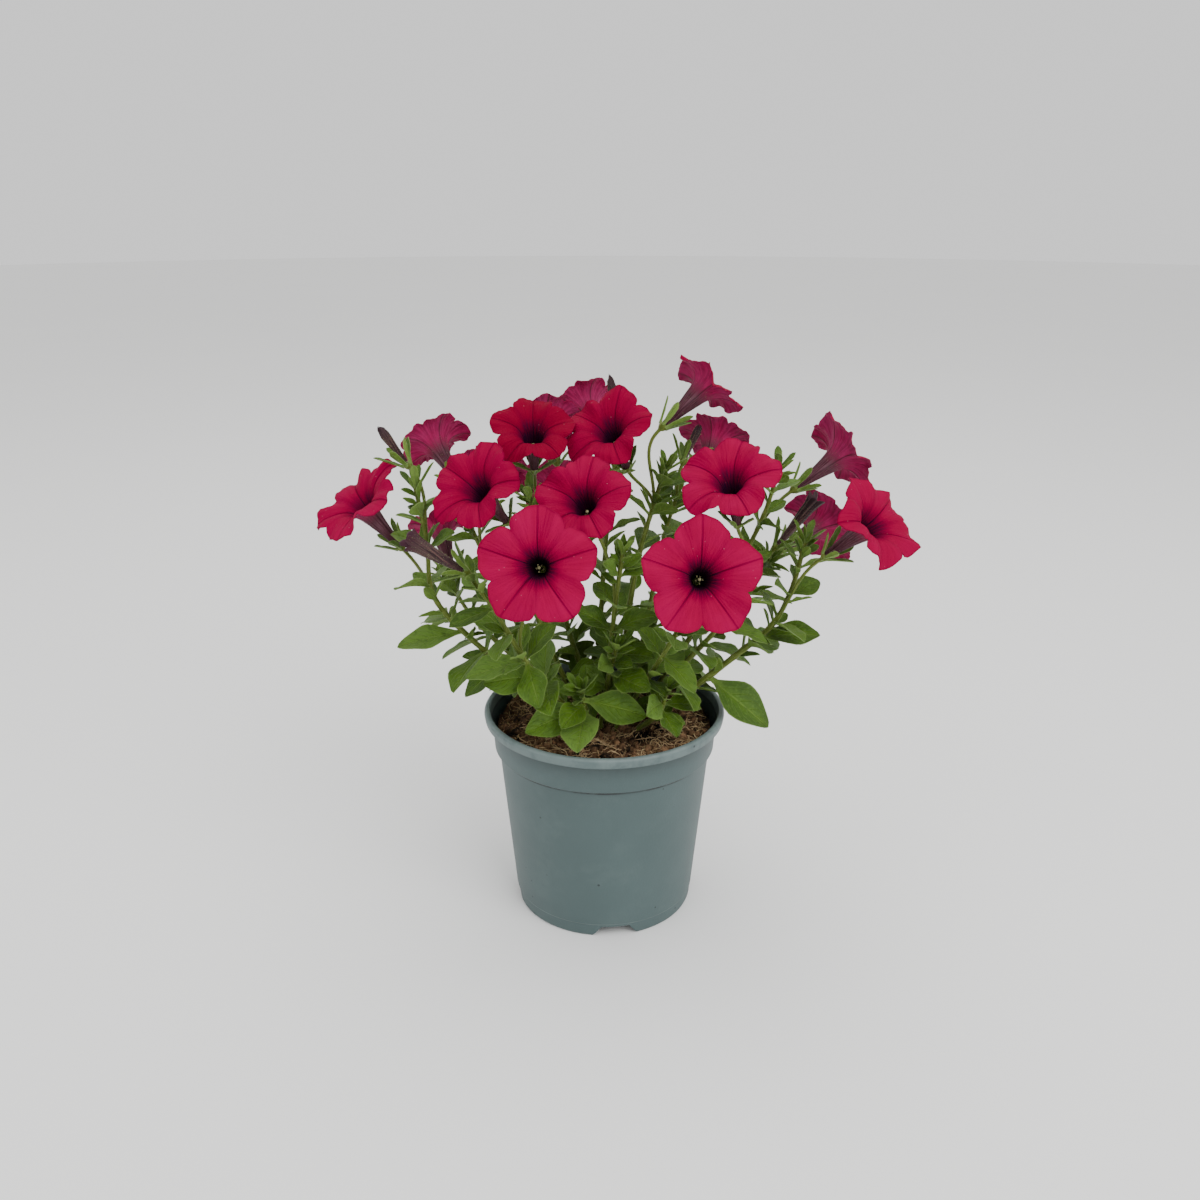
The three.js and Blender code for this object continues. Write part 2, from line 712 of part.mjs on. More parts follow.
const SLIM = [0.5, 1];
const SMALL = [0.32, 0.74, 1];
const LARGE = [0.18, 0.46, 0.8, 1];

// The blade that a try makes: it turns round the stem, slopes up or down and may be smaller.
function leafBlade(stem, leaf, [turn, slope, size]) {
  const { centre, along, side, other } = frameOn(stem.curve, leaf.share);
  let angle = leaf.turn + turn;
  let direction;
  if (leaf.heading) {
    direction = heading([leaf.heading[0] + turn, leaf.heading[1] + slope]);
    angle = THREE.MathUtils.radToDeg(Math.atan2(direction.dot(other), direction.dot(side)));
  } else {
    const lean = radians(leaf.lean - slope);
    const out = moved(new THREE.Vector3(), [side, Math.cos(radians(angle))], [other, Math.sin(radians(angle))]);
    direction = moved(new THREE.Vector3(), [along, Math.cos(lean)], [out, Math.sin(lean)]);
  }
  const outward = new THREE.Vector3(centre.x, centre.y, 0).normalize();
  const skyward = squareTo(direction, leaf.atTip ? along : moved(outward, [UP, 1.1], [along, 0.3]));
  const across = new THREE.Vector3().crossVectors(direction, skyward);
  const roll = radians(leaf.roll);
  return {
    ...leaf,
    angle,
    base: centre,
    along: direction,
    face: moved(new THREE.Vector3(), [skyward, Math.cos(roll)], [across, Math.sin(roll)]),
    length: leaf.length * size,
    width: leaf.width * size,
  };
}

// The leaves of a stem: in pairs, big near the soil and smaller near the tip, each pair turned from the last.
function leavesOf(stem, draw) {
  const { count, big, small, turn, bare = 0.05 } = stem.leaves;
  const leaves = stem.single.map((leaf) => ({
    roll: 0,
    ...leaf,
    share: shareOf(stem, leaf.point),
    fold: 0.2,
    shares: LARGE,
  }));
  for (let i = 0; i < count; i += 1) {
    const pair = Math.floor(i / 2);
    const rank = (2 * pair + 1) / count;
    const length = mix(big, small, rank) * (0.88 + 0.24 * draw());
    leaves.push({
      share: mix(bare, 0.95, Math.pow(rank, 0.88)),
      turn: turn + pair * NODE_TURN + (i % 2) * PAIR + 16 * (draw() - 0.5),
      lean: mix(66, 54, rank) + 14 * (draw() - 0.5),
      length,
      width: length * mix(0.62, 0.46, rank),
      droop: mix(0.32, 0.14, rank) + 0.1 * (draw() - 0.5),
      fold: 0.14 + 0.14 * draw(),
      roll: 36 * (draw() - 0.5),
      shares: rank < 0.45 ? LARGE : SMALL,
    });
  }
  return leaves;
}

// The slim leaves round a stem's tip, one on each wall of its last band.
function tipLeavesOf(stem, draw) {
  return Array.from({ length: stem.tip }, (_, k) => ({
    share: 1 - NODE_HEIGHT / stem.curve.getLength() / 2,
    turn: stem.leaves.turn + 36 + (k * 360) / SIDES,
    lean: 34 + 14 * draw(),
    length: 11 + 5 * draw(),
    width: 3.4 + 0.8 * draw(),
    droop: -0.04,
    fold: 0.2,
    roll: 0,
    shares: SLIM,
    atTip: true,
  }));
}

// The sepals round a flower's seat, on the spokes between the petals' lobes.
function sepalsOf(draw) {
  return Array.from({ length: LOBES }, (_, k) => ({
    spoke: 36 + 72 * k,
    lean: 25 + 20 * draw(),
    length: 13 + 3 * draw(),
    width: 3 + 0.4 * draw(),
    droop: 0.05 * draw(),
    fold: 0.15,
    shares: SLIM,
  }));
}

function sepalBlade(frame, sepal, [, slope, size]) {
  const out = spoke(frame, radians(sepal.spoke));
  const lean = radians(sepal.lean + slope);
  const direction = moved(new THREE.Vector3(), [frame.axis, Math.cos(lean)], [out, Math.sin(lean)]);
  return {
    ...sepal,
    base: moved(frame.seat, [frame.axis, -1.5], [out, CUP_RADIUS * 0.75]),
    along: direction,
    face: squareTo(direction, frame.axis),
    length: sepal.length * size,
  };
}

// A leafy stem: rings along its curve, two at each leaf, so that each leaf grows out of a wall of its own.
function stemSolid(stem, leaves) {
  const half = NODE_HEIGHT / stem.curve.getLength() / 2;
  const lowest = 2.5 * half;
  const girthAt = (share) => mix(stem.girth[0], stem.girth[1], share);
  const rings = [];
  const limbs = [];
  let turn = 0;
  let last = 0;
  const ordered = [...leaves].sort((a, b) => a.share - b.share);
  if (ordered.length) turn = ordered[0].angle - 36;
  rings.push(levelRing(stem.root, SOIL_LEVEL - ROOT_DEPTH, stem.girth[0], turn));
  rings.push(levelRing(stem.root, SOIL_LEVEL + 2.4, stem.girth[0], turn));
  let node = null;
  for (const leaf of ordered) {
    if (!node || leaf.share - last > 2.6 * half) {
      const gap = leaf.share - last;
      if (gap > 0.2) rings.push(ringOn(stem.curve, last + gap / 2, girthAt(last + gap / 2), turn));
      const step = 360 / SIDES;
      turn += mod(leaf.angle - 36 - turn + step / 2, step) - step / 2;
      last = Math.min(Math.max(leaf.share, lowest), 1 - half);
      node = rings.length;
      rings.push(ringOn(stem.curve, last - half, girthAt(last), turn));
      rings.push(ringOn(stem.curve, last + half, girthAt(last), turn));
    }
    const side = mod(Math.round((leaf.angle - 36 - turn) / (360 / SIDES)), SIDES);
    if (!limbs.some((limb) => limb.band === node && limb.side === side)) {
      limbs.push({ band: node, side, rings: bladeRings(leaf) });
    }
  }
  if (last < 1 - 2 * half) rings.push(ringOn(stem.curve, 1, girthAt(1), turn));
  return solidOf(branched(rings, apart(rings, limbs)));
}

// The limbs of a stem that don't run through one another, the first ones first.
function apart(rings, limbs) {
  const kept = [];
  for (const limb of limbs) {
    const [low, high] = [rings[limb.band], rings[limb.band + 1]];
    const next = (limb.side + 1) % SIDES;
    const points = [low[limb.side], low[next], high[next], high[limb.side]];
    const faces = [0, 2, 1, 0, 3, 2];
    limbFaces(points, faces, [0, 1, 2, 3], limb.rings);
    const solid = solidOf(facingOut(points.flatMap((p) => [p.x, p.y, p.z]), faces));
    if (kept.every((other) => other.solid.intersect(solid).volume() < 0.0001)) kept.push({ ...limb, solid });
  }
  return kept;
}

function mod(value, step) {
  return ((value % step) + step) % step;
}

// Blooms: a trumpet whose limb spreads into five joined lobes.
function lobeEdge(angle) {
  const fromSinus = 2 * Math.abs(mod((angle * LOBES) / (2 * Math.PI), 1) - 0.5);
  return 1 - SINUS * Math.pow(1 - fromSinus, 2.2);
}

// How far each lobe folds back, and the ruffle of the edge, drawn for each bloom.
function characterOf(seed) {
  const draw = drawsFrom(seed);
  return {
    lobes: Array.from({ length: LOBES }, () => 0.3 * draw() - 0.08),
    ruffle: 0.035 + 0.04 * draw(),
    waves: draw() < 0.5 ? 7 : 9,
    phase: 2 * Math.PI * draw(),
  };
}

// Radius and height of the trumpet: a slim tube, then a limb along a cubic curve.
function trumpet(bloom, share) {
  const { radius, length } = bloom;
  const mouth = length * TUBE_SHARE;
  if (share <= 0.5) {
    const up = share / 0.5;
    return [mix(TUBE_BASE, TUBE_MOUTH, Math.pow(up, 1.5)), mouth * up, 0];
  }
  const u = (share - 0.5) / 0.5;
  const v = 1 - u;
  const blend = (a, b, c, d) => a * v * v * v + 3 * b * v * v * u + 3 * c * v * u * u + d * u * u * u;
  return [
    blend(TUBE_MOUTH, TUBE_MOUTH + 0.07 * radius, 0.5 * radius, radius),
    blend(mouth, length * 0.9, length * 0.97, length),
    u,
  ];
}

function corollaPoint(bloom, frame, angle, share, back) {
  const [r, h, u] = trumpet(bloom, share);
  const { lobes, ruffle, waves, phase } = bloom.character;
  const turn = mod((angle * LOBES) / (2 * Math.PI), LOBES);
  const near = Math.round(turn) % LOBES;
  const crest = Math.pow(Math.cos(Math.PI * (turn - Math.round(turn))), 2);
  const fold = -lobes[near] * crest * Math.pow(u, 2.2);
  const wave = ruffle * Math.sin(waves * angle + phase) * Math.pow(u, 3);
  const edge = mix(1, lobeEdge(angle), u * u);
  const thick = back ? PETAL : 0;
  const tilt = (Math.PI / 2) * Math.min(1, u * 1.6);
  const radial = r * edge + thick * Math.cos(tilt);
  const height = h + (fold + wave) * bloom.radius - thick * Math.sin(tilt);
  return moved(frame.seat, [frame.axis, height], [spoke(frame, angle), radial]);
}

function makeBloom(bloom) {
  const frame = flowerFrame(bloom);
  const steps = [[0, 5], [0.5, 10], [0.74, 10], [1, 20]];
  const ring = ([share, count], back) =>
    Array.from({ length: count }, (_, k) => corollaPoint(bloom, frame, (k * 2 * Math.PI) / count, share, back));
  return shell(steps.map((step) => ring(step, false)), steps.map((step) => ring(step, true)));
}

// A thin shell between two sheets of rings. Both sheets are split into triangles alike.
function shell(inner, outer) {
  const positions = [...inner, ...outer].flat().flatMap((p) => [p.x, p.y, p.z]);
  const starts = inner.map((ring, i) => inner.slice(0, i).reduce((sum, r) => sum + r.length, 0));
  const sheet = inner.flat().length;
  const faces = [];
  for (let i = 0; i + 1 < inner.length; i += 1) {
    band(faces, starts[i], inner[i].length, starts[i + 1], inner[i + 1].length);
  }
  for (const index of [...faces].reverse()) faces.push(index + sheet);
  const last = inner.length - 1;
  band(faces, sheet, inner[0].length, 0, inner[0].length);
  band(faces, starts[last], inner[last].length, starts[last] + sheet, inner[last].length);
  return solidOf(facingOut(positions, faces));
}

// Buds: a closed, lightly twisted tube, thickest near its pointed end.
function makeBud(bud) {
  const frame = flowerFrame(bud);
  const steps = [[0, 0.6], [0.4, 0.72], [0.68, 0.9], [0.86, 1], [0.96, 0.62]];
  const rings = steps.map(([share, girth]) =>
    Array.from({ length: 6 }, (_, k) => {
      const ridge = k % 2 ? 0.82 : 1.08;
      const angle = radians(60 * k + 50 * share);
      const height = 0.3 + share * (bud.length - 0.3);
      return moved(frame.seat, [frame.axis, height], [spoke(frame, angle), bud.girth * girth * ridge]);
    }),
  );
  return solidOf(loft([...rings, [moved(frame.seat, [frame.axis, bud.length])]]));
}

// Everything that a new blade has to stand clear of, with its owner and its box.
const neighbours = [];

function standsHere(owner, solid) {
  neighbours.push({ owner, solid, box: solid.boundingBox() });
}

function boxesMeet(a, b) {
  return [0, 1, 2].every((i) => a.min[i] <= b.max[i] && b.min[i] <= a.max[i]);
}

// A blade keeps its distance from other pieces, and beyond its foot it doesn't touch its own stem either.
function isClear(own, leaf) {
  const far = bladeSolid(leaf, CLEARANCE, 0);
  const near = bladeSolid(leaf, 0.3, Math.min(0.3, 5 / leaf.length));
  const boxes = new Map([far, near].map((solid) => [solid, solid.boundingBox()]));
  return neighbours.every((one) => {
    const solid = own.includes(one.owner) ? near : far;
    return !boxesMeet(boxes.get(solid), one.box) || one.solid.intersect(solid).isEmpty();
  });
}

// The first try that stands clear of every neighbour, or nothing.
function grow(own, shapeOf) {
  for (const attempt of TRIES) {
    const leaf = shapeOf(attempt);
    if (isClear(own, leaf)) {
      standsHere(own[0], bladeSolid(leaf, 0, 0.05));
      return leaf;
    }
  }
  return null;
}

// The group: one mesh for each piece.
const petunia = new THREE.Group();

function place(name, solid, look) {
  const mesh = new THREE.Mesh(geometryOf(solid), new THREE.MeshStandardMaterial(COLOURS[look]));
  mesh.name = name;
  petunia.add(mesh);
}

const pot = makePot();
const soil = makeSoil();
standsHere("pot", pot);
standsHere("soil", soil);
place("pot", pot, "pot");
place("soil", soil, "soil");

let bloomNumber = 0;
for (const stem of STEMS) {
  stem.curve = stemCurve(stem);
  stem.own = `stem_${stem.name}`;
  [...stem.blooms, ...stem.buds].forEach((flower, order) => {
    flower.order = order;
  });
  for (const bloom of stem.blooms) {
    bloomNumber += 1;
    bloom.length = 20 + 0.62 * bloom.radius;
    bloom.character = characterOf(100 + bloomNumber);
    const solid = makeBloom(bloom);
    standsHere(`bloom_${bloom.name}`, solid);
    place(`bloom_${bloom.name}`, solid, "bloom");
  }
  for (const bud of stem.buds) {
    const solid = makeBud(bud);
    standsHere(`bud_${bud.name}`, solid);
    place(`bud_${bud.name}`, solid, "bud");
  }
}

// Rods and stalks first, so that every leaf knows where all of them are.
for (const stem of STEMS) {
  standsHere(stem.own, stemRod(stem));
  for (const flower of [...stem.blooms, ...stem.buds]) {
    standsHere(stem.own, stalkSolid(stem, flower, flowerFrame(flower), []));
  }
}

STEMS.forEach((stem, number) => {
  const draw = drawsFrom(500 + number);
  stem.stalks = [...stem.blooms, ...stem.buds].map((flower) => {
    const frame = flowerFrame(flower);
    const own = [stem.own, `${flower.radius ? "bloom" : "bud"}_${flower.name}`];
    const limbs = sepalsOf(draw).map((sepal, side) => {
      const leaf = grow(own, (attempt) => sepalBlade(frame, sepal, attempt));
      return { side, rings: leaf ? bladeRings(leaf) : null };
    });
    return stalkSolid(stem, flower, frame, limbs.filter((limb) => limb.rings));
  });
});

// A round of leaves for every stem in turn, so that no stem takes all the room.
const plans = STEMS.map((stem, number) => {
  const draw = drawsFrom(900 + number);
  return { stem, leaves: [...leavesOf(stem, draw), ...tipLeavesOf(stem, draw)], grown: [] };
});
const rounds = Math.max(...plans.map((plan) => plan.leaves.length));
for (let round = 0; round < rounds; round += 1) {
  for (const { stem, leaves, grown } of plans) {
    if (round < leaves.length) {
      const leaf = grow([stem.own], (attempt) => leafBlade(stem, leaves[round], attempt));
      if (leaf) grown.push(leaf);
    }
  }
}
for (const { stem, grown } of plans) {
  place(stem.own, wholeOf(joined([stemSolid(stem, grown), ...stem.stalks])), "green");
}

export default petunia;
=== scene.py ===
"""A petunia in a plastic nursery pot: fine pieces and finishes over its fixed solids.

Laid out as an add-on. Sizes and colours are properties, each group of pieces is an operator.
Plans are in millimetres and degrees, meshes in metres. Azimuth 0 is +X, 90 is +Y.
"""
import math
from collections import namedtuple
from itertools import combinations

import bpy
import numpy as np
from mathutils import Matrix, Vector, noise
from mathutils.bvhtree import BVHTree


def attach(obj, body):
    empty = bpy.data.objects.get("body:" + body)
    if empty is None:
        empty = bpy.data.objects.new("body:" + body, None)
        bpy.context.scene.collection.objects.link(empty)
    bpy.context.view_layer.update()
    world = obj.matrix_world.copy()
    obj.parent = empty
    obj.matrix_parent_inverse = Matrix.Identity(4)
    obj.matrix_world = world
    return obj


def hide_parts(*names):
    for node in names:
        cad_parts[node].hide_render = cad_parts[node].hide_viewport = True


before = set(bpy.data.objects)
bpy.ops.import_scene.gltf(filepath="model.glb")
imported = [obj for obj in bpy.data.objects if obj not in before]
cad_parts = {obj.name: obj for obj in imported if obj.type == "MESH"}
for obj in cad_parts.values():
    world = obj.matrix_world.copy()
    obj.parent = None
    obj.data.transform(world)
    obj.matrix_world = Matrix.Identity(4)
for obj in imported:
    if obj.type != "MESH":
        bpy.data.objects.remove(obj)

bl_info = {
    "name": "Potted petunia",
    "version": (1, 0, 0),
    "blender": (4, 5, 0),
    "location": "3D View > Sidebar > Petunia",
    "description": "Builds a petunia in a nursery pot, with its soil, foliage, blooms and buds",
    "category": "Add Mesh",
}

# What the solids and the fine pieces have in common.
RIM_RADIUS = 65
POT_HEIGHT = 114
LIP_HEIGHT = 5.4
LIP_REACH = 4.2
COLLAR_HEIGHT = 21.5
COLLAR_RADIUS = 59.6
BODY_TOP_RADIUS = 57.4
FOOT_RADIUS = 48.8
FOOT_HEIGHT = 7.5
WALL = 1.5
FLOOR = 2.2
NOTCH = {"count": 4, "azimuth": -83, "width": 24, "top": 14.8, "height": 6}
DRAIN = {"count": 8, "ring": 33, "radius": 4, "middle": 5}
SOIL_LEVEL = 106
ROOT_DEPTH = 11
SIDES = 5
NODE_HEIGHT = 1.9
STALK_RADIUS = 0.85
CUP_RADIUS = 2.4
NODE_TURN = 97
PAIR = 144
LOBES = 5
LOBE_TURN = 72
SINUS_TURN = 36
TUBE_SHARE = 0.6
TUBE_BASE = 1.5
TUBE_MOUTH = 4.3
SINUS = 0.16
BLADE_SEED, SEPAL_SEED, BLOOM_SEED = 900, 500, 100

STEP = POT_HEIGHT - COLLAR_HEIGHT
LIP_BOTTOM = POT_HEIGHT - LIP_HEIGHT
FLOOR_TOP = FOOT_HEIGHT + FLOOR

# What only the fine pieces have. MM is the millimetres in a metre.
MM = 1000
FULL_TURN = 2 * math.pi
GOLDEN_TURN = 137.5
GOLDEN_RATIO = 1.618
SOIL_SEED, STEM_SEED, PETAL_SEED, BUD_HAIR_SEED, ANY_SEED = 11, 300, 700, 5, 1e9
ROUNDING_STEPS = 4
LONGEST_FACE = 6
POT_SHARP, LEAF_SHARP = 40, 55
SOIL_GAP = WALL + 0.6
SOIL_EDGE = COLLAR_RADIUS - SOIL_GAP + 0.3
DRAIN_SIDES, SOIL_SIDES, FLOOR_SIDES, BUD_SIDES = 24, 132, 96, 60
STEM_SIDES, ROD_SIDES, ANTHER_SIDES, STRAND_SIDES = 12, 10, 7, 3
BUD_RINGS = 34
STALK_STEPS = 16
SAME_TIP = 0.03
MARGIN = 0.35
TUBE_ROWS, LIMB_ROWS = 9, 19
LEAF_THICK, SEPAL_THICK = 0.34, 0.5
FACE_DEPTH, BACK_DEPTH = 0.22, 0.62

# Down: the shortest hair, the longest and their width. Then how much of a stem's down the others have.
BLADE_EDGE_DOWN, BLADE_DOWN = (0.5, 1.15, 0.13), (0.4, 0.8, 0.1)
STEM_DOWN, TUBE_DOWN, BUD_DOWN = (0.5, 1.2, 0.11), (0.3, 0.7, 0.09), (0.4, 0.9, 0.1)
BLADE_SHARE, STALK_SHARE = 0.9, 0.7

# Clods, crumbs and grit in the soil: how fine, which layer of the noise and how high.
SOIL_RELIEF = ((0.13, 3.1, 1.7), (0.42, 7.7, 1.1), (1.1, 1.3, 0.4))

# Heights over their foot and radii of a flower's cup, of the cap on it and of an anther.
CUP = ((-4.0, 1.25), (-3.3, 1.85), (-2.5, 2.25), (-1.6, 2.4), (-0.9, 2.35), (-0.5, 2.2))
CUP_CAP = ((-0.5, 2.2), (-0.45, 0.4))
ANTHER = ((-0.45, 0.05), (-0.25, 0.36), (0.1, 0.5), (0.4, 0.34), (0.5, 0.05))

# The stage, in metres and degrees. A lamp is its place and size.
FLOOR_LEVEL = -0.0002
LIT_POINT = (0, 0, 0.15)
LAMPS = {"key": ((0.75, -1.0, 1.25), 1.1), "fill": ((-1.1, -0.7, 0.8), 1.2), "top": ((-0.1, 0.5, 1.5), 1.2)}
CAMERA_PLACE = (-0.0023, -0.571, 0.381)
CAMERA_TILT = 70.1
CAMERA_LENS = 34.68


def plans(keys, lines):
    """Lines of values as dictionaries. A line may leave out its last values."""
    return [dict(zip(keys.split(), line)) for line in lines]


def leafy_stem(name, root, girth, leaves, tip, route, blooms=(), buds=(), single=()):
    blooms = plans("name fork seat faces radius", blooms)
    buds = plans("name fork seat faces length girth", buds)
    for order, flower in enumerate(blooms + buds):
        flower["order"] = order
    return {
        "name": name,
        "root": root,
        "girth": girth,
        "leaves": plans("count big small turn bare", [leaves])[0],
        "tip": tip,
        "route": route,
        "blooms": blooms,
        "buds": buds,
        "flowers": blooms + buds,
        "single": plans("point heading length width droop roll", single),
    }


# Each leafy stem: where it leaves the soil, its radius there and at its tip, its leaves, how many small
# leaves stand round its tip, the points it passes, and the blooms, buds and single leaves on it.
# Leaves are their count, the longest and shortest, the first one's turn and the stem's bare share.
# Blooms and buds are the point where they fork off, their seat, the way they face and their sizes.
# Single leaves are their point, heading, length, width, droop and roll.
STEMS = [
    leafy_stem(
        "left_low", root=(-16, -5), girth=(2.1, 1.2), leaves=(10, 29, 19, 72, 0.27), tip=4,
        route=[(-40, -15, 133), (-66, -22, 159), (-86, -22, 184), (-89, -17, 212), (-94, -12, 238)],
        blooms=[("far_left", 4, (-106, -1, 205), (-149, 52), 25.5)],
        buds=[("left", 5, (-98, -12, 251), (-165, 56), 22, 2.2)],
        single=[(3.25, (-168, -6), 34, 15, 0.06, -25), (2.5, (-163, -34), 24, 13, 0.1, -20)],
    ),
    leafy_stem(
        "left_front", root=(-11, -15), girth=(2.0, 1.2), leaves=(10, 32, 20, 100, 0.24), tip=0,
        route=[(-26, -30, 134), (-40, -41, 158), (-53, -50, 187), (-63, -53, 204)],
        blooms=[("front_left", 3, (-29, -59, 211), (-92, 20), 26.2)],
        buds=[("opening", 5, (-67, -55, 209), (-171, 34), 31, 3.4)],
        single=[(2.9, (-70, -34), 24, 16, 0.1), (2.5, (-172, 2), 28, 17, 0.1, -25)],
    ),
    leafy_stem(
        "left_back", root=(-19, 9), girth=(1.9, 1.2), leaves=(10, 34, 19, 14), tip=3,
        route=[(-40, 15, 140), (-60, 22, 180), (-74, 28, 212)],
        blooms=[
            ("back_left", 4, (-80, 44, 227), (128, 37), 20.5),
            ("back_left_hidden", 3, (-64, 22, 219), (80, 30), 19),
        ],
    ),
    leafy_stem(
        "left_middle", root=(-12, 0), girth=(1.8, 1.2), leaves=(6, 32, 18, 150), tip=3,
        route=[(-25, -4, 140), (-38, -10, 178), (-43, -12, 206)],
        blooms=[("middle_left", 3, (-49, -21, 224), (-124, 44), 23)],
    ),
    leafy_stem(
        "left_rear", root=(-23, 19), girth=(1.9, 1.2), leaves=(10, 36, 20, 70), tip=4,
        route=[(-48, 27, 128), (-73, 36, 150), (-88, 43, 172)],
        blooms=[("rear_left", 3, (-86, 46, 174), (114, 50), 19)],
    ),
    leafy_stem(
        "centre_left", root=(-5, 8), girth=(1.8, 1.15), leaves=(10, 31, 17, 200), tip=4,
        route=[(-18, 8, 150), (-30, 6, 196), (-38, 4, 228)],
        blooms=[
            ("top_left", 3, (-36, 9, 243), (-88, 52), 20.8),
            ("top_left_hidden", 3, (-25, 15, 246), (104, 30), 18.5),
        ],
    ),
    leafy_stem(
        "centre", root=(2, -5), girth=(2.0, 1.2), leaves=(10, 33, 18, 20), tip=3,
        route=[(3, -14, 146), (5, -19, 174), (9, -18, 206)],
        blooms=[("middle", 3, (-4, -27, 220), (-108, 44), 23.5)],
    ),
    leafy_stem(
        "centre_right", root=(9, 3), girth=(2.0, 1.2), leaves=(10, 32, 17, 60), tip=4,
        route=[(11, 1, 150), (17, 1, 194), (25, 4, 224), (31, 6, 243)],
        blooms=[
            ("top_middle", 4, (11, 9, 244), (-118, 49), 22.5),
            ("top_right", 4, (31, 12, 265), (24, 38), 20.5),
        ],
    ),
    leafy_stem(
        "rear_centre", root=(-1, 19), girth=(1.9, 1.15), leaves=(10, 32, 17, 110), tip=3,
        route=[(-2, 26, 150), (1, 34, 196), (5, 39, 234)],
        blooms=[("top_back", 3, (2, 52, 248), (121, 32), 19.5)],
        buds=[("top", 4, (9, 36, 256), (150, 76), 31, 2.2)],
    ),
    leafy_stem(
        "right_back", root=(14, 13), girth=(1.8, 1.15), leaves=(10, 32, 17, 160), tip=3,
        route=[(22, 16, 150), (31, 18, 200), (38, 22, 224)],
        blooms=[("back_right", 4, (52, 36, 230), (68, 36), 20)],
        buds=[("slim", 4, (42, 19, 246), (40, 58), 19, 2.0)],
    ),
    leafy_stem(
        "right_middle", root=(15, -6), girth=(2.0, 1.2), leaves=(10, 32, 19, 210, 0.2), tip=0,
        route=[(38, -14, 140), (62, -19, 172), (72, -16, 200)],
        blooms=[("middle_right", 4, (66, -15, 221), (-112, 56), 24.5)],
    ),
    leafy_stem(
        "right_high", root=(20, 3), girth=(2.0, 1.2), leaves=(10, 33, 17, 30), tip=4,
        route=[(46, 7, 150), (70, 11, 188), (83, 10, 218), (89, 8, 242)],
        blooms=[("high_right", 3, (101, 20, 230), (24, 29), 23.5)],
    ),
    leafy_stem(
        "right_rear", root=(24, 12), girth=(1.9, 1.2), leaves=(10, 35, 19, 80), tip=4,
        route=[(52, 20, 138), (76, 20, 168), (88, 18, 190)],
        blooms=[("rear_right", 3, (97, 30, 193), (36, 16), 23)],
        buds=[("wilting", 4, (92, 13, 201), (-12, 55), 33, 3.0)],
    ),
    leafy_stem(
        "right_low", root=(28, -4), girth=(2.4, 1.2), leaves=(10, 30, 19, 140, 0.2), tip=4,
        route=[(46, -7, 126), (69, -10, 147), (87, -15, 167), (96, -15, 188), (101, -13, 210)],
        blooms=[("far_right", 4, (109, -33, 210), (-39, 41), 23.5)],
        single=[(2.4, (-22, -32), 40, 23, 0.06, 34), (3.6, (-8, 8), 31, 17, 0.06, 22)],
    ),
    leafy_stem(
        "front_right", root=(7, -14), girth=(1.9, 1.2), leaves=(10, 31, 20, 250, 0.24), tip=0,
        route=[(22, -25, 140), (36, -35, 170), (41, -38, 188)],
        blooms=[("front_right", 4, (43, -54, 203), (-90, 22), 26.6)],
    ),
    leafy_stem(
        "front_shoot", root=(-4, -20), girth=(1.7, 1.2), leaves=(2, 26, 22, 60, 0.4), tip=4,
        route=[(-9, -27, 122), (-12, -33, 137)],
        single=[
            (2.1, (-96, -16), 40, 21, 0.12), (2.6, (-30, -8), 33, 17, 0.08, 20),
            (2.2, (-154, -4), 34, 18, 0.12, -15),
        ],
    ),
    leafy_stem(
        "front_right_shoot", root=(18, -20), girth=(1.7, 1.2), leaves=(2, 24, 20, 60, 0.4), tip=4,
        route=[(28, -28, 122), (32, -33, 138)],
        single=[(2.5, (-142, -14), 25, 15, 0.1, -15), (2.2, (-88, -18), 19, 13, 0.1)],
    ),
    leafy_stem(
        "front_middle_shoot", root=(-2, -13), girth=(1.7, 1.2), leaves=(4, 28, 20, 330, 0.3), tip=4,
        route=[(1, -18, 132), (6, -26, 158)],
        single=[(2.4, (-45, 2), 28, 17, 0.1)],
    ),
    leafy_stem(
        "rear_shoot", root=(-9, 29), girth=(1.9, 1.2), leaves=(10, 38, 20, 90), tip=5,
        route=[(-18, 42, 132), (-25, 54, 160), (-28, 58, 186)],
        blooms=[("rear_low", 3, (-24, 65, 196), (100, 39), 23)],
    ),
    leafy_stem(
        "rear_right_shoot", root=(11, 28), girth=(1.9, 1.2), leaves=(10, 38, 20, 300), tip=5,
        route=[(24, 42, 132), (36, 56, 160), (42, 62, 184)],
    ),
]

# Turn, slope and size that a blade may have taken to stand clear of its neighbours.
TRIES = [
    (0, 0, 1), (22, 0, 1), (-22, 0, 1), (0, 16, 0.95), (0, -18, 0.95), (45, 0, 0.95), (-45, 0, 0.95),
    (70, 10, 0.85), (-70, 10, 0.85), (110, 0, 0.8), (180, 0, 0.8), (-110, 0, 0.75), (25, -20, 0.7),
    (-25, 20, 0.7), (0, 0, 0.6), (90, 0, 0.55), (-90, 0, 0.55), (150, 0, 0.5),
]
FEW_TRIES = 9

UP = np.array([0.0, 0.0, 1.0])
DOWN = -UP
BACK = np.array([0.0, 1.0, 0.0])


# Vectors, angles and draws.
def vec(values):
    return np.array(values, float)


def unit(v):
    return v / np.linalg.norm(v)


def unit_rows(vectors):
    return vectors / np.linalg.norm(vectors, axis=1)[:, None]


def square_to(axis, direction):
    return unit(direction - direction.dot(axis) * axis)


def mix(a, b, share):
    return a + (b - a) * share


def ramp(low, high, x):
    t = np.clip((np.asarray(x, float) - low) / (high - low), 0, 1)
    return t * t * (3 - 2 * t)


def heading(angles):
    azimuth, elevation = np.radians(angles)
    level = math.cos(elevation)
    return vec([level * math.cos(azimuth), level * math.sin(azimuth), math.sin(elevation)])


def circle(count):
    """Angles once round."""
    return np.linspace(0, FULL_TURN, count, endpoint=False)


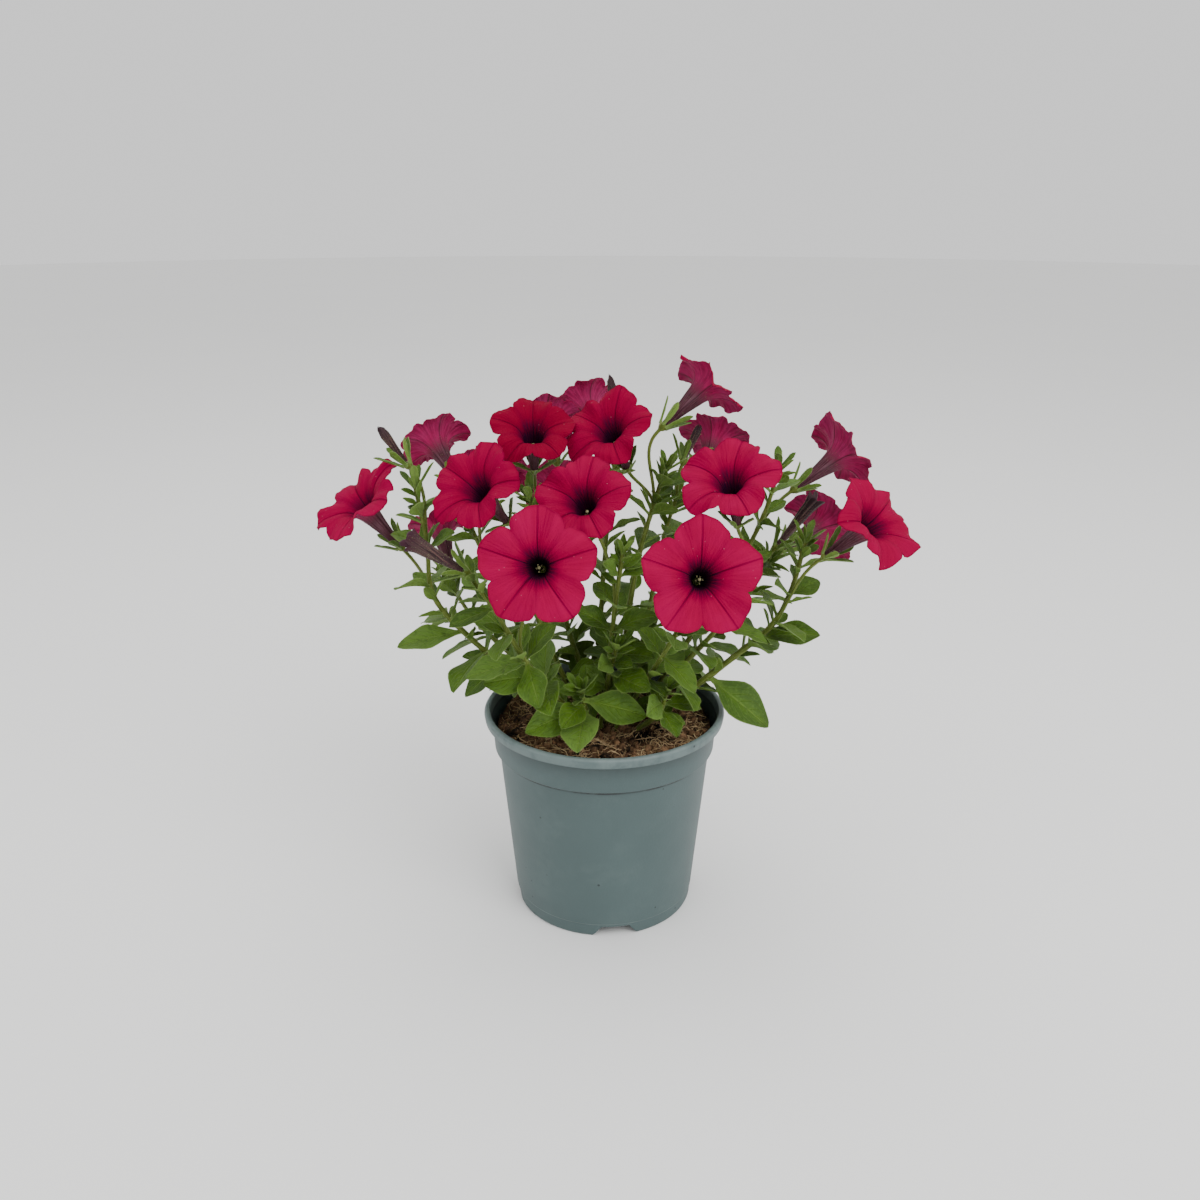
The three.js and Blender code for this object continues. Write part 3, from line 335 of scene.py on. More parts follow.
def turned(profile, count):
    """Rings round the upright axis, one for each radius and height of a profile."""
    angles = circle(count)
    ring = np.stack([np.cos(angles), np.sin(angles), 0 * angles], 1)
    return [ring * radius + UP * height for radius, height in profile]


def draws_from(seed):
    """Seeded draws from 0 to 1, the same as those that shaped the solids."""
    state = seed & 0xFFFFFFFF

    def draw():
        nonlocal state
        state = (state + 0x6D2B79F5) & 0xFFFFFFFF
        t = ((state ^ (state >> 15)) * (state | 1)) & 0xFFFFFFFF
        t ^= (t + (((t ^ (t >> 7)) * (t | 61)) & 0xFFFFFFFF)) & 0xFFFFFFFF
        return ((t ^ (t >> 14)) & 0xFFFFFFFF) / 4294967296

    return draw


class Curve:
    """A curve with places from 0 to 1, their tangents and its length."""

    def tangent(self, share):
        low, high = max(share - 0.0001, 0), min(share + 0.0001, 1)
        return unit(self.at(high) - self.at(low))

    def length(self):
        points = [self.at(i / 200) for i in range(201)]
        return sum(np.linalg.norm(b - a) for a, b in zip(points, points[1:]))


class Route(Curve):
    """A smooth curve through points."""

    def __init__(self, points):
        self.points = vec(points)

    def at(self, share):
        p, last = self.points, len(self.points) - 1
        place = last * share
        i = min(int(math.floor(place)), last - 1)
        t = place - i
        before = p[i - 1] if i > 0 else 2 * p[0] - p[1]
        after = p[i + 2] if i + 2 <= last else 2 * p[last] - p[last - 1]
        a, b = p[i], p[i + 1]
        leave, arrive = 0.5 * (b - before), 0.5 * (after - a)
        second, third = 3 * (b - a) - 2 * leave - arrive, 2 * (a - b) + leave + arrive
        return a + leave * t + second * t**2 + third * t**3


class Bend(Curve):
    """A cubic curve with two handles."""

    def __init__(self, *points):
        self.points = points

    def at(self, share):
        a, b, c, d = self.points
        t, s = share, 1 - share
        return a * s**3 + 3 * b * s * s * t + 3 * c * s * t * t + d * t**3


class Piece:
    """Patches of a mesh in millimetres, each face with a finish, each point with a tint."""

    def __init__(self):
        self.points, self.corners, self.sizes, self.uvs, self.looks, self.tints = [], [], [], [], [], []
        self.count = 0

    def add(self, points, faces, uvs, look, tint=0.5):
        points, faces = np.asarray(points, float).reshape(-1, 3), np.asarray(faces, int)
        self.points.append(points)
        self.corners.append((faces + self.count).ravel())
        self.sizes.append(np.full(len(faces), faces.shape[1]))
        self.uvs.append(np.asarray(uvs, float).reshape(-1, 2))
        self.looks.append(np.broadcast_to(look, len(faces)))
        self.tints.append(np.broadcast_to(tint, len(points)))
        self.count += len(points)

    def rings(self, rings, look, tint=0.5, places=None, flip=False):
        """Faces between closed rings of one count. The places are how far along each ring is."""
        rings = np.asarray(rings, float)
        n, m = rings.shape[:2]
        places = np.linspace(0, 1, n) if places is None else np.asarray(places, float)
        i, j = np.arange(n - 1)[:, None], np.arange(m)[None, :]
        a, b = i * m + j, i * m + (j + 1) % m
        faces = np.stack([a, b, b + m, a + m], -1).reshape(-1, 4)
        u0, u1 = j / m + 0 * i, (j + 1) / m + 0 * i
        v0, v1 = places[:-1][:, None] + 0 * j, places[1:][:, None] + 0 * j
        corners = ((u0, v0), (u1, v0), (u1, v1), (u0, v1))
        uvs = np.stack([np.stack(corner, -1) for corner in corners], 2).reshape(-1, 4, 2)
        if flip:
            faces, uvs = faces[:, ::-1], uvs[:, ::-1]
        self.add(rings, faces, uvs, look, tint if np.isscalar(tint) else np.asarray(tint).ravel())

    def hairs(self, roots, ways, down, look, chance, seed=None):
        """One thin triangle for each hair."""
        shortest, longest, width = down
        lengths = chance.uniform(shortest, longest, len(roots))
        seed = int(chance.integers(ANY_SEED)) if seed is None else seed
        if not len(roots):
            return
        across = np.cross(ways, np.random.default_rng(seed).normal(size=ways.shape))
        across /= np.linalg.norm(across, axis=1)[:, None] + 1e-9
        tips = roots + ways * lengths[:, None]
        points = np.stack([roots - across * width / 2, roots + across * width / 2, tips], 1).reshape(-1, 3)
        faces = np.arange(len(points)).reshape(-1, 3)
        self.add(points, faces, np.tile([[0, 0], [1, 0], [0.5, 1]], (len(faces), 1, 1)), look)

    def build(self, name, materials, sharp=0):
        """The mesh object in metres, smooth but for edges sharper than so many degrees."""
        mesh = bpy.data.meshes.new(name)
        corners, sizes = np.concatenate(self.corners), np.concatenate(self.sizes)
        mesh.vertices.add(self.count)
        mesh.loops.add(len(corners))
        mesh.polygons.add(len(sizes))
        starts = np.concatenate([[0], np.cumsum(sizes)[:-1]])
        mesh.vertices.foreach_set("co", (np.concatenate(self.points) / MM).astype(np.float32).ravel())
        mesh.loops.foreach_set("vertex_index", corners.astype(np.int32))
        mesh.polygons.foreach_set("loop_start", starts.astype(np.int32))
        for material in materials:
            mesh.materials.append(material)
        mesh.polygons.foreach_set("material_index", np.concatenate(self.looks).astype(np.int32))
        mesh.update(calc_edges=True)
        layer = mesh.uv_layers.new(name="UVMap")
        layer.data.foreach_set("uv", np.concatenate(self.uvs).astype(np.float32).ravel())
        tint = mesh.attributes.new("tint", "FLOAT", "POINT")
        tint.data.foreach_set("value", np.concatenate(self.tints).astype(np.float32))
        mesh.polygons.foreach_set("use_smooth", np.ones(len(sizes), bool))
        if sharp:
            mesh.set_sharp_from_angle(angle=math.radians(sharp))
        mesh.validate()
        return placed(bpy.data.objects.new(name, mesh))


def placed(thing):
    bpy.context.scene.collection.objects.link(thing)
    return thing


def stands_for(thing, node):
    """The piece rides on the plant's body and stands for its solid, which it hides."""
    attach(thing, "root")
    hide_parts(node)


def solid_points(node):
    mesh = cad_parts[node].data
    points = np.zeros(len(mesh.vertices) * 3, np.float32)
    mesh.vertices.foreach_get("co", points)
    return points.reshape(-1, 3).astype(float) * MM


# Finishes: small helpers for shader nodes.
def shade(code):
    """A colour's linear values from its usual hex code."""
    values = [int(code[i : i + 2], 16) / 255 for i in (0, 2, 4)]
    return tuple(v / 12.92 if v <= 0.04045 else ((v + 0.055) / 1.055) ** 2.4 for v in values)


def shades(codes):
    return [shade(code) for code in codes.split()]


def spaced(inputs):
    return {key.replace("_", " "): value for key, value in inputs.items()}


class Value:
    """What a socket puts out. Reckoning with values makes Math nodes."""

    def __init__(self, net, socket):
        self.net, self.socket = net, socket

    def __add__(self, other):
        return self.net.math("ADD", self, other)

    def __radd__(self, other):
        return self.net.math("ADD", other, self)

    def __sub__(self, other):
        return self.net.math("SUBTRACT", self, other)

    def __rsub__(self, other):
        return self.net.math("SUBTRACT", other, self)

    def __mul__(self, other):
        return self.net.math("MULTIPLY", self, other)

    def __pow__(self, other):
        return self.net.math("POWER", self, other)

    def __abs__(self):
        return self.net.math("ABSOLUTE", self)


EFFECTS = {}


class Net:
    """Makes and links nodes in a material or a node group."""

    def __init__(self, tree):
        self.tree = tree

    def put(self, socket, value):
        if isinstance(value, Value):
            self.tree.links.new(value.socket, socket)
        elif socket.type == "RGBA" and len(value) == 3:
            socket.default_value = (*value, 1)
        else:
            socket.default_value = value

    def node(self, kind, inputs, out=0, **settings):
        """A new node's output, or several. Inputs and outputs go by their number or name."""
        made = self.tree.nodes.new("ShaderNode" + kind)
        for key, value in settings.items():
            setattr(made, key, value)
        for key, value in inputs.items():
            self.put(made.inputs[key], value)
        if isinstance(out, tuple):
            return [Value(self, made.outputs[key]) for key in out]
        return Value(self, made.outputs[out])

    def math(self, operation, *values):
        return self.node("Math", dict(enumerate(values)), operation=operation)

    def step(self, value, low, high, start=0.0, end=1.0):
        """A smooth change from start to end while the value goes from low to high."""
        inputs = dict(enumerate((value, low, high, start, end)))
        return self.node("MapRange", inputs, interpolation_type="SMOOTHSTEP")

    def blend(self, share, a, b):
        return self.node("Mix", {0: share, 6: a, 7: b}, 2, data_type="RGBA")

    def coats(self, colour, *coats):
        """A colour with coats laid over it in turn, each a share and a colour."""
        for share, coat in coats:
            colour = self.blend(share, colour, coat)
        return colour

    def split(self, vector):
        return self.node("SeparateXYZ", {0: vector}, (0, 1, 2))

    def join(self, x, y):
        return self.node("CombineXYZ", {0: x, 1: y})

    def noise(self, vector, scale, detail, rough, bend=0.0):
        inputs = {"Vector": vector, "Scale": scale, "Detail": detail, "Roughness": rough, "Distortion": bend}
        return self.node("TexNoise", inputs)

    def effect(self, name, **inputs):
        """A shared effect's only output, or all of its outputs in their order."""
        group = EFFECTS[name]
        out = tuple(item.name for item in group.interface.items_tree if item.in_out == "OUTPUT")
        made = self.node("Group", spaced(inputs), out, node_tree=group)
        return made if len(made) > 1 else made[0]

    def leave(self, **outputs):
        """What a node group puts out."""
        for key in spaced(outputs):
            self.tree.interface.new_socket(key, in_out="OUTPUT", socket_type="NodeSocketFloat")
        leave = self.tree.nodes.new("NodeGroupOutput")
        for key, value in spaced(outputs).items():
            self.put(leave.inputs[key], value)


class Skin(Net):
    """A new material with its places on the piece."""

    def __init__(self, name):
        self.material = bpy.data.materials.new(name)
        self.material.use_nodes = True
        super().__init__(self.material.node_tree)
        self.spread, self.place = self.node("TexCoord", {}, ("UV", "Object"))

    def tint(self):
        return self.node("Attribute", {}, "Fac", attribute_name="tint")

    def mottle(self, size, contrast):
        return self.effect("mottle", Place=self.place, Size=size, Contrast=contrast)

    def grain(self, size):
        return self.effect("grain", Place=self.place, Size=size)

    def streaks(self, around, along):
        return self.effect("streaks", Around_and_along=self.spread, Around=around, Along=along)

    def petal_veins(self, rib_width, lines):
        return self.effect("petal veins", Round_and_out=self.spread, Rib_width=rib_width, Lines=lines)

    def dust(self, speck_size, amount):
        return self.effect("dust", Place=self.place, Speck_size=speck_size, Amount=amount)

    def finish(self, colour, roughness, relief=None, **plain):
        """Links what varies over the surface and sets plain numbers on the shader's own sockets.

        The relief is its height, distance and strength.
        """
        shader = self.tree.nodes["Principled BSDF"]
        if relief:
            plain["Normal"] = self.node("Bump", dict(zip(("Height", "Distance", "Strength"), relief)))
        for key, value in spaced({"Base_Color": colour, "Roughness": roughness, **plain}).items():
            self.put(shader.inputs[key], value)
        return self.material


def new_effect(name, title, **inputs):
    """A node group's net and its inputs. An input with no default is a place, the others are numbers."""
    group = EFFECTS[name] = bpy.data.node_groups.new(title, "ShaderNodeTree")
    for key, default in spaced(inputs).items():
        kind = "NodeSocketVector" if default is None else "NodeSocketFloat"
        socket = group.interface.new_socket(key, in_out="INPUT", socket_type=kind)
        if default is not None:
            socket.default_value = default
    net, entry = Net(group), group.nodes.new("NodeGroupInput")
    return net, *(Value(net, entry.outputs[key]) for key in spaced(inputs))


def make_effects():
    """The effects that several finishes share."""
    net, place, size, contrast = new_effect("mottle", "Soft mottle", Place=None, Size=80.0, Contrast=0.5)
    value = (net.noise(place, size, 4, 0.6) - 0.5) * (contrast * 4) + 0.5
    net.leave(Mask=net.math("MINIMUM", net.math("MAXIMUM", value, 0), 1))

    net, place, size = new_effect("grain", "Fine grain", Place=None, Size=1500.0)
    net.leave(Grain=net.noise(place, size, 3, 0.6))

    net, spread, many, long = new_effect(
        "streaks", "Streaks along", Around_and_along=None, Around=9.0, Along=3.0
    )
    around, along, _ = net.split(spread)
    net.leave(Streaks=net.noise(net.join(around * many, along * long), 1.0, 3, 0.62, 0.15))

    net, spread, pairs, lean, width = new_effect(
        "leaf veins", "Leaf veins", Across_and_along=None, Pairs=7.0, Lean=0.42, Width=0.12
    )
    across, along, _ = net.split(spread)
    off = abs(across - 0.5) * 2
    wander = net.noise(spread, 5, 2, 0.5)
    beat = net.math("FRACT", (along - off**1.3 * lean + (wander - 0.5) * 0.08) * pairs)
    vein = net.step(abs(beat - 0.5), 0.0, width, 1, 0)
    net.leave(Midrib=net.step(off, 0.01, 0.085, 1, 0), Side_veins=vein * net.step(off, 0.55, 0.98, 1, 0))

    net, spread, rib_width, lines = new_effect(
        "petal veins", "Petal veins", Round_and_out=None, Rib_width=0.05, Lines=90.0
    )
    around, out, _ = net.split(spread)
    lobe = net.math("FRACT", around * LOBES + 0.5)
    off = abs(lobe - 0.5)
    limb = net.math("MAXIMUM", (out - 0.5) * 2, 0)
    ribs = net.step(off, 0.0, rib_width * (1.15 - limb * 0.8), 1, 0)
    lines = net.join((around + (lobe - 0.5) * 0.05) * lines, out * 3.5)
    fine = net.step(net.noise(lines, 1.0, 3, 0.6, 0.4), 0.38, 0.66)
    net.leave(Ribs=ribs, Fine_veins=fine, Seams=net.step(off, 0.36, 0.5), Out=limb)

    net, place, speck_size, amount = new_effect(
        "dust", "Dust and specks", Place=None, Speck_size=400.0, Amount=0.3
    )
    dust = net.step(net.noise(place, 38, 6, 0.7, 0.3), 0.46, 0.78) * amount
    spots = {"Vector": place, "Scale": speck_size, "Randomness": 1.0}
    distance, pick = net.node("TexVoronoi", spots, ("Distance", "Color"))
    size = net.step(net.split(pick)[0], 0.965, 1.0) * 0.3
    net.leave(Dust=dust, Specks=net.step(distance, size * 0.5, size, 1, 0))


def pot_plastic(name, tones, wear):
    """Matt moulded plastic, clouded, dusty and worn pale at its edges, with painted shade under the step and
    lip and a lip face painted paler, partly as painted light.
    """
    skin = Skin(name)
    base, cloudy, pale, dark = tones
    cloud = skin.mottle(14.0, 0.55)
    dust, specks = skin.dust(330.0, wear)
    uneven = skin.step(skin.noise(skin.place, 75, 4, 0.65), 0.38, 0.7, 0.25, 1)
    rubbed = skin.step(skin.tint(), 0.5, 1.0) * uneven
    colour = skin.coats(base, (cloud, cloudy), (dust * 0.7, pale), (rubbed * 0.6, pale))
    x, y, z = skin.split(skin.place)
    # Noise that breaks up the painted shadow lines and the paler lip band.
    light_and_shade_breakup = skin.step(skin.noise(skin.place, 120, 3, 0.6), 0.3, 0.6, 0.35, 1)
    # Painted shadow: dark lines just under the collar step and just under the lip, where their shade falls.
    for height, share in ((STEP - 1.2, 0.9), (LIP_BOTTOM - 0.3, 0.5)):
        line = skin.step(abs(z - height / MM), 0.0003, 0.0012, share, 0) * light_and_shade_breakup
        colour = skin.blend(line, colour, dark)
    lip = LIP_BOTTOM / MM
    # Painted shade: the collar darkens towards the underside of the lip, which shades it.
    shade_under_lip = skin.step(z, lip - 0.012, lip, 0, 0.34) * skin.step(z, lip, lip + 0.0004, 1, 0)
    # The rim above the lip's underside is painted paler: partly painted light against the shaded collar,
    # partly wear.
    lit_and_worn_lip = skin.step(z, lip, lip + 0.001, 0, 0.4) * light_and_shade_breakup
    drag = skin.join(skin.math("ARCTAN2", y, x) * 2.2, z * 260)
    patch = skin.step(skin.noise(skin.place, 22, 2, 0.5), 0.5, 0.66)
    scratch = skin.step(skin.noise(drag, 1.6, 6, 0.75, 0.2), 0.66, 0.74) * patch
    colour = skin.coats(colour, (shade_under_lip, dark), (lit_and_worn_lip, pale), (scratch * 0.35, pale), (specks * 0.8, dark))
    height = skin.grain(900.0) + skin.noise(skin.place, 60, 2, 0.5) * 1.5 - scratch * 0.8
    rough = 0.44 + cloud * 0.12 + dust * 0.2
    return skin.finish(colour, rough, (height, 0.00012, 0.7), Specular_IOR_Level=0.42)


def soil_crumb(name, dark, light, grain=520.0):
    """Damp peat: dark and brown crumbs, coarse to the light."""
    skin = Skin(name)
    cloud, patch = skin.mottle(grain, 0.9), skin.mottle(90.0, 0.8)
    share = (cloud + patch) * 0.5 * (0.45 + skin.tint())
    colour = skin.coats(dark, (share, light), (skin.step(patch, 0.4, 0.08, 0, 0.92), shade("0a0705")))
    relief = (skin.noise(skin.place, 700, 5, 0.7), 0.0006, 0.9)
    return skin.finish(colour, 0.78 + cloud * 0.2, relief, Specular_IOR_Level=0.15)


def fibre_coir(name, light, dark):
    """A coir fibre, straw to chestnut, streaked along its length."""
    skin = Skin(name)
    streak = skin.streaks(6.0, 14.0)
    share = skin.tint() * 0.65 + streak * 0.25
    colour = skin.coats(light, (share, dark), (skin.mottle(200.0, 0.5) * 0.4, dark))
    return skin.finish(colour, 0.6 + streak * 0.25, (streak, 0.00008, 0.6), Specular_IOR_Level=0.2)


def leaf_skin(name, tones, vein, relief, soft):
    """A leaf's face or underside: veins, cells and a soft matt down."""
    skin = Skin(name)
    base, cloudy, pale, dark, warm = tones
    midrib, sides = skin.effect("leaf veins", Across_and_along=skin.spread, Pairs=7.0, Lean=0.42, Width=0.13)
    across, along, _ = skin.split(skin.spread)
    off = abs(across - 0.5) * 2
    tint = skin.tint()
    colour = skin.coats(
        base,
        (skin.mottle(130.0, 0.6), cloudy),
        (skin.step(tint, 0.35, 1.0), pale),
        (skin.step(tint, 0.35, 0.0) * 0.55, dark),
        (skin.step(along, 0.0, 0.3, 0.6, 0), vein),
        (sides * 0.16, vein),
        (midrib * 0.5, vein),
        (skin.step(off, 0.0, 0.7, 0.4, 0), warm),
        (skin.step(skin.mottle(620.0, 0.9), 0.5, 1.0, 0, 0.34), pale),
        (skin.step(skin.mottle(300.0, 0.6), 0.5, 0.04, 0, 0.45), dark),
        (skin.step(off, 0.9, 1.0, 0, 0.5), vein),
    )
    cells = skin.grain(1500.0)
    height = cells * 0.35 - (midrib + sides * 0.6) * relief
    return skin.finish(colour, soft + cells * 0.16, (height, 0.00055, 0.8), Specular_IOR_Level=0.22,
                       Sheen_Weight=0.06, Sheen_Roughness=0.45, Sheen_Tint=(0.75, 0.85, 0.5, 1.0))


def stem_skin(name, base, cloudy, pale):
    """A fleshy stem: pale ribs along it, greener patches and fine down."""
    skin = Skin(name)
    ribs = skin.streaks(9.0, 3.0)
    colour = skin.coats(base, (skin.mottle(75.0, 0.7), cloudy), (skin.step(ribs, 0.42, 0.68, 0, 0.55), pale))
    return skin.finish(colour, 0.45 + ribs * 0.2, (ribs, 0.00022, 0.6), Specular_IOR_Level=0.2,
                       Sheen_Weight=0.4, Sheen_Roughness=0.4, Sheen_Tint=(0.8, 0.85, 0.5, 1.0))


def down_hair(name, light, dark):
    """The pale down on stems, sepals and leaf edges."""
    skin = Skin(name)
    cloud = skin.mottle(60.0, 0.6)
    colour = skin.coats(dark, (skin.split(skin.spread)[1] * 0.7, light), (cloud * 0.3, dark))
    return skin.finish(colour, 0.5 + cloud * 0.15, Specular_IOR_Level=0.4)


def petal_face(name, tones):
    """The bloom's face: velvet crimson, dark ribs, and a purple-black throat that runs out in streaks."""
    skin = Skin(name)
    ribs, fine, seams, limb = skin.petal_veins(0.052, 74.0)
    specks = skin.dust(950.0, 0.07)[1]
    reach = limb - fine * 0.2 - ribs * 0.16
    colour = skin.coats(
        tones["face"],
        # Partly random tone, partly painted sheen: lighter patches over the outer limb.
        (skin.mottle(62.0, 0.7) * skin.step(limb, 0.35, 0.8, 0, 0.8), tones["light"]),
        (skin.step(skin.tint(), 0.15, 0.9), tones["warm"]),
        (skin.step(limb, 0.06, 0.6, 0.72, 0), tones["deep"]),
        (fine * skin.step(limb, 0.55, 1.0, 0.2, 0.08), tones["deep"]),
        # Painted shade: darker crimson along the seams between the lobes, where the folds fall into shade.
        (seams * skin.step(limb, 0.2, 0.9, 0.5, 0.1), tones["deep"]),
        (ribs * skin.step(limb, 0.3, 1.0, 0.85, 0.35), tones["rib"]),
        (fine * skin.step(limb, 0.2, 0.52, 0.95, 0), tones["streak"]),
        (skin.step(reach, -0.06, 0.14, 1, 0), tones["throat"]),
        (skin.step(limb, 0.965, 1.0, 0, 0.45), tones["edge"]),
        (specks * 0.22, tones["pollen"]),
    )
    cells = skin.grain(2200.0)
    height = cells * 0.25 - ribs + fine * 0.5
    return skin.finish(colour, 0.6 + cells * 0.2, (height, 0.0004, 0.8), Specular_IOR_Level=0.04)


def petal_back(name, tones):
    """The bloom's back and tube: dusky pink with raised veins, a striped brown-purple tube."""
    skin = Skin(name)
    ribs, fine, _, _ = skin.petal_veins(0.08, 64.0)
    limb = skin.coats(
        tones["back"],
        (skin.mottle(70.0, 0.6), tones["back light"]),
        (fine * 0.4, tones["rib"]),
        (ribs * 0.7, tones["tube"]),
    )
    tube = skin.coats(tones["tube"], (fine, tones["tube light"]), (ribs * 0.5, tones["tube dark"]))
    colour = skin.blend(skin.step(skin.split(skin.spread)[1], 0.46, 0.7, 1, 0), limb, tube)
    cells = skin.grain(1600.0)
    height = cells * 0.2 + ribs + fine * 0.5
    return skin.finish(colour, 0.52 + cells * 0.2, (height, 0.00045, 0.8), Specular_IOR_Level=0.08)


def bud_skin(name, tones):
    """A furled bud: dark purple-brown pleats with paler down."""
    skin = Skin(name)
    along = skin.split(skin.spread)[1]
    streak = skin.streaks(17.0, 2.0)
    colour = skin.coats(
        tones["bud"],
        (skin.step(streak, 0.44, 0.64), tones["bud light"]),
        (skin.mottle(160.0, 0.6) * 0.4, tones["tube dark"]),
        (skin.step(along, 0.05, 0.6, 0.35, 0), tones["tube light"]),
        (skin.step(along, 0.5, 0.95, 0, 0.75), tones["bud dark"]),
        (skin.step(along, 0.7, 1.0, 0, 0.8) * skin.tint(), tones["bud tip"]),
    )
    return skin.finish(colour, 0.5 + streak * 0.2, (streak, 0.0004, 0.8), Specular_IOR_Level=0.25,
                       Sheen_Weight=0.04, Sheen_Roughness=0.4, Sheen_Tint=(0.9, 0.75, 0.8, 1.0))


def pistil_flesh(name, base, cloudy):
    """Style, stigma and anthers: pale green to straw."""
    skin = Skin(name)
    cloud = skin.mottle(400.0, 0.7)
    colour = skin.blend(cloud, base, cloudy)
    return skin.finish(colour, 0.4 + cloud * 0.2, (cloud, 0.0002, 0.6), Specular_IOR_Level=0.45)


def stage_floor(name, base, light):
    """A plain pale floor with the faintest cloud in it."""
    skin = Skin(name)
    cloud = skin.mottle(3.0, 0.3)
    return skin.finish(skin.blend(cloud * 0.2, base, light), 0.72 + cloud * 0.1, Specular_IOR_Level=0.2)


# Tones of the petals and buds beside those in the panel.
PETAL_TONES = {
    # 'light' is the petals' lighter tone, partly painted sheen.
    "rib": "46001e", "light": "9c0042", "edge": "6c0028", "streak": "440430", "pollen": "e8a8bc",
    "back light": "a83064", "tube": "46202a", "tube light": "684650", "tube dark": "281018",
    "bud light": "664a44", "bud dark": "1a0c14", "bud tip": "3e0a24",
}
FINISH = {}


def finishes(*names):
    """The finishes of these names. They are all made once, from the colours in the panel."""
    if not FINISH:
        scene = bpy.context.scene
        foliage, blooms, soil = scene.petunia_foliage, scene.petunia_blooms, scene.petunia_soil
        make_effects()
        tones = {name: shade(code) for name, code in PETAL_TONES.items()}
        for name in ("face", "warm", "deep", "throat", "back"):
            tones[name] = tuple(getattr(blooms, f"{name}_colour"))
        tones["bud"] = tuple(scene.petunia_buds.bud_colour)
        face = (tuple(foliage.leaf_colour), *shades("405e16 5e7e32 2e4a10 547616"))
        # The underside tones are partly the leaf's own paler green and partly painted light, brightened to
        # stand for light shining through the leaf.
        under = shades("5c7828 506a22 708e3c 46601c 607c28")
        FINISH.update({
            # The pot's dark tone paints its shadow lines and the shade under the lip as well as the specks;
            # its pale tone paints the lit lip as well as dust and wear.
            "pot": pot_plastic("pot_matt_plastic", shades("3f5050 4a5b5b 788785 1c2122"), 0.16),
            "soil": soil_crumb("soil_damp_peat", tuple(soil.peat_colour), shade("765840")),
            "bark": soil_crumb("soil_bark_crumbs", *shades("2c1e14 8e6e50"), 900.0),
            "fibre": fibre_coir("soil_coir_fibre", tuple(soil.fibre_colour), shade("80603c")),
            "stem": stem_skin("stem_skin", tuple(foliage.stem_colour), *shades("4e601c 7e8a44")),
            "leaf": leaf_skin("leaf_face", face, shade("7c9644"), 0.9, 0.46),
            "under": leaf_skin("leaf_underside", under, shade("809858"), -0.9, 0.56),
            "hair": down_hair("down_hair", *shades("b9c498 7c8a54")),
            "petal": petal_face("petal_face", tones),
            "back": petal_back("petal_back", tones),
            "bud": bud_skin("bud_skin", tones),
            "pistil": pistil_flesh("pistil_flesh", *shades("bdb68a 7d784e")),
            "floor": stage_floor("stage_floor", *shades("f4f4f3 ffffff")),
        })
    return [FINISH[name] for name in names]


# The pot.
def body_radius(z):
    return mix(FOOT_RADIUS, BODY_TOP_RADIUS, z / STEP)


def rounded(corners):
    """A line through corners, each with its radius, height and rounding."""
    line = [vec(corners[0][:2])]
    for before, (*corner, radius), after in zip(corners, corners[1:], corners[2:]):
        before, corner, after = vec(before[:2]), vec(corner), vec(after[:2])
        reach = min(radius, 0.45 * np.linalg.norm(before - corner), 0.45 * np.linalg.norm(after - corner))
        start, end = corner + unit(before - corner) * reach, corner + unit(after - corner) * reach
        for k in range(ROUNDING_STEPS + 1):
            t = k / ROUNDING_STEPS
            line.append(start * (1 - t) ** 2 + 2 * corner * t * (1 - t) + end * t * t)
    line.append(vec(corners[-1][:2]))
    return line


def pot_profile():
    """The pot's section from the middle of its underside round the wall to its floor."""
    foot, body, low = body_radius(FOOT_HEIGHT), body_radius(STEP), body_radius(FLOOR_TOP) - WALL
    line = rounded([
        (0.05, FOOT_HEIGHT, 0),
        (FOOT_RADIUS - 3.6, FOOT_HEIGHT, 1.0),
        (FOOT_RADIUS - 3, 0, 0.4),
        (FOOT_RADIUS - 0.6, 0, 0.5),
        (FOOT_RADIUS - 0.05, 1.4, 0.6),
        (foot - 0.3, FOOT_HEIGHT - 0.35, 0.25),
        (foot + 0.05, FOOT_HEIGHT + 0.1, 0.25),
        (body - 0.1, STEP - 0.9, 0.4),
        (COLLAR_RADIUS, STEP + 0.3, 0.5),
        (RIM_RADIUS - LIP_REACH, LIP_BOTTOM, 0.5),
        (RIM_RADIUS - 0.6, LIP_BOTTOM + 0.1, 0.6),
        (RIM_RADIUS, POT_HEIGHT - 1.4, 0.9),
        (RIM_RADIUS - 1, POT_HEIGHT, 0.9),
        (RIM_RADIUS - 3.2, POT_HEIGHT, 0.9),
        (COLLAR_RADIUS - WALL, STEP + 1.6, 0.8),
        (body - WALL, STEP - 1.4, 0.8),
        (low, FLOOR_TOP + 2, 1.0),
        (low - 1.6, FLOOR_TOP, 0.8),
        (0.05, FLOOR_TOP, 0),
    ])
    fine = [line[0]]
    for a, b in zip(line, line[1:]):
        pieces = max(1, int(np.linalg.norm(b - a) / LONGEST_FACE))
        fine.extend(a + (b - a) * (k + 1) / pieces for k in range(pieces))
    return fine


def worn_edge(radius, z):
    """How much each height of the pot is rubbed: most at its lips, step, moulded line and foot."""
    lip = ramp(2.4, 0, abs(z - POT_HEIGHT)) * (radius > RIM_RADIUS - 6)
    under = ramp(1.2, 0, abs(z - LIP_BOTTOM)) * (radius > RIM_RADIUS - 2) * 0.8
    step = ramp(0.8, 0, abs(z - STEP)) * (radius > COLLAR_RADIUS - 1) * 0.8
    line = ramp(0.55, 0, abs(z - FOOT_HEIGHT)) * (radius > FOOT_RADIUS - 1)
    foot = ramp(1.6, 0, z) * (radius > FOOT_RADIUS - 1.2) * 0.9
    return 0.35 + 0.65 * float(max(lip, under, step, line, foot))


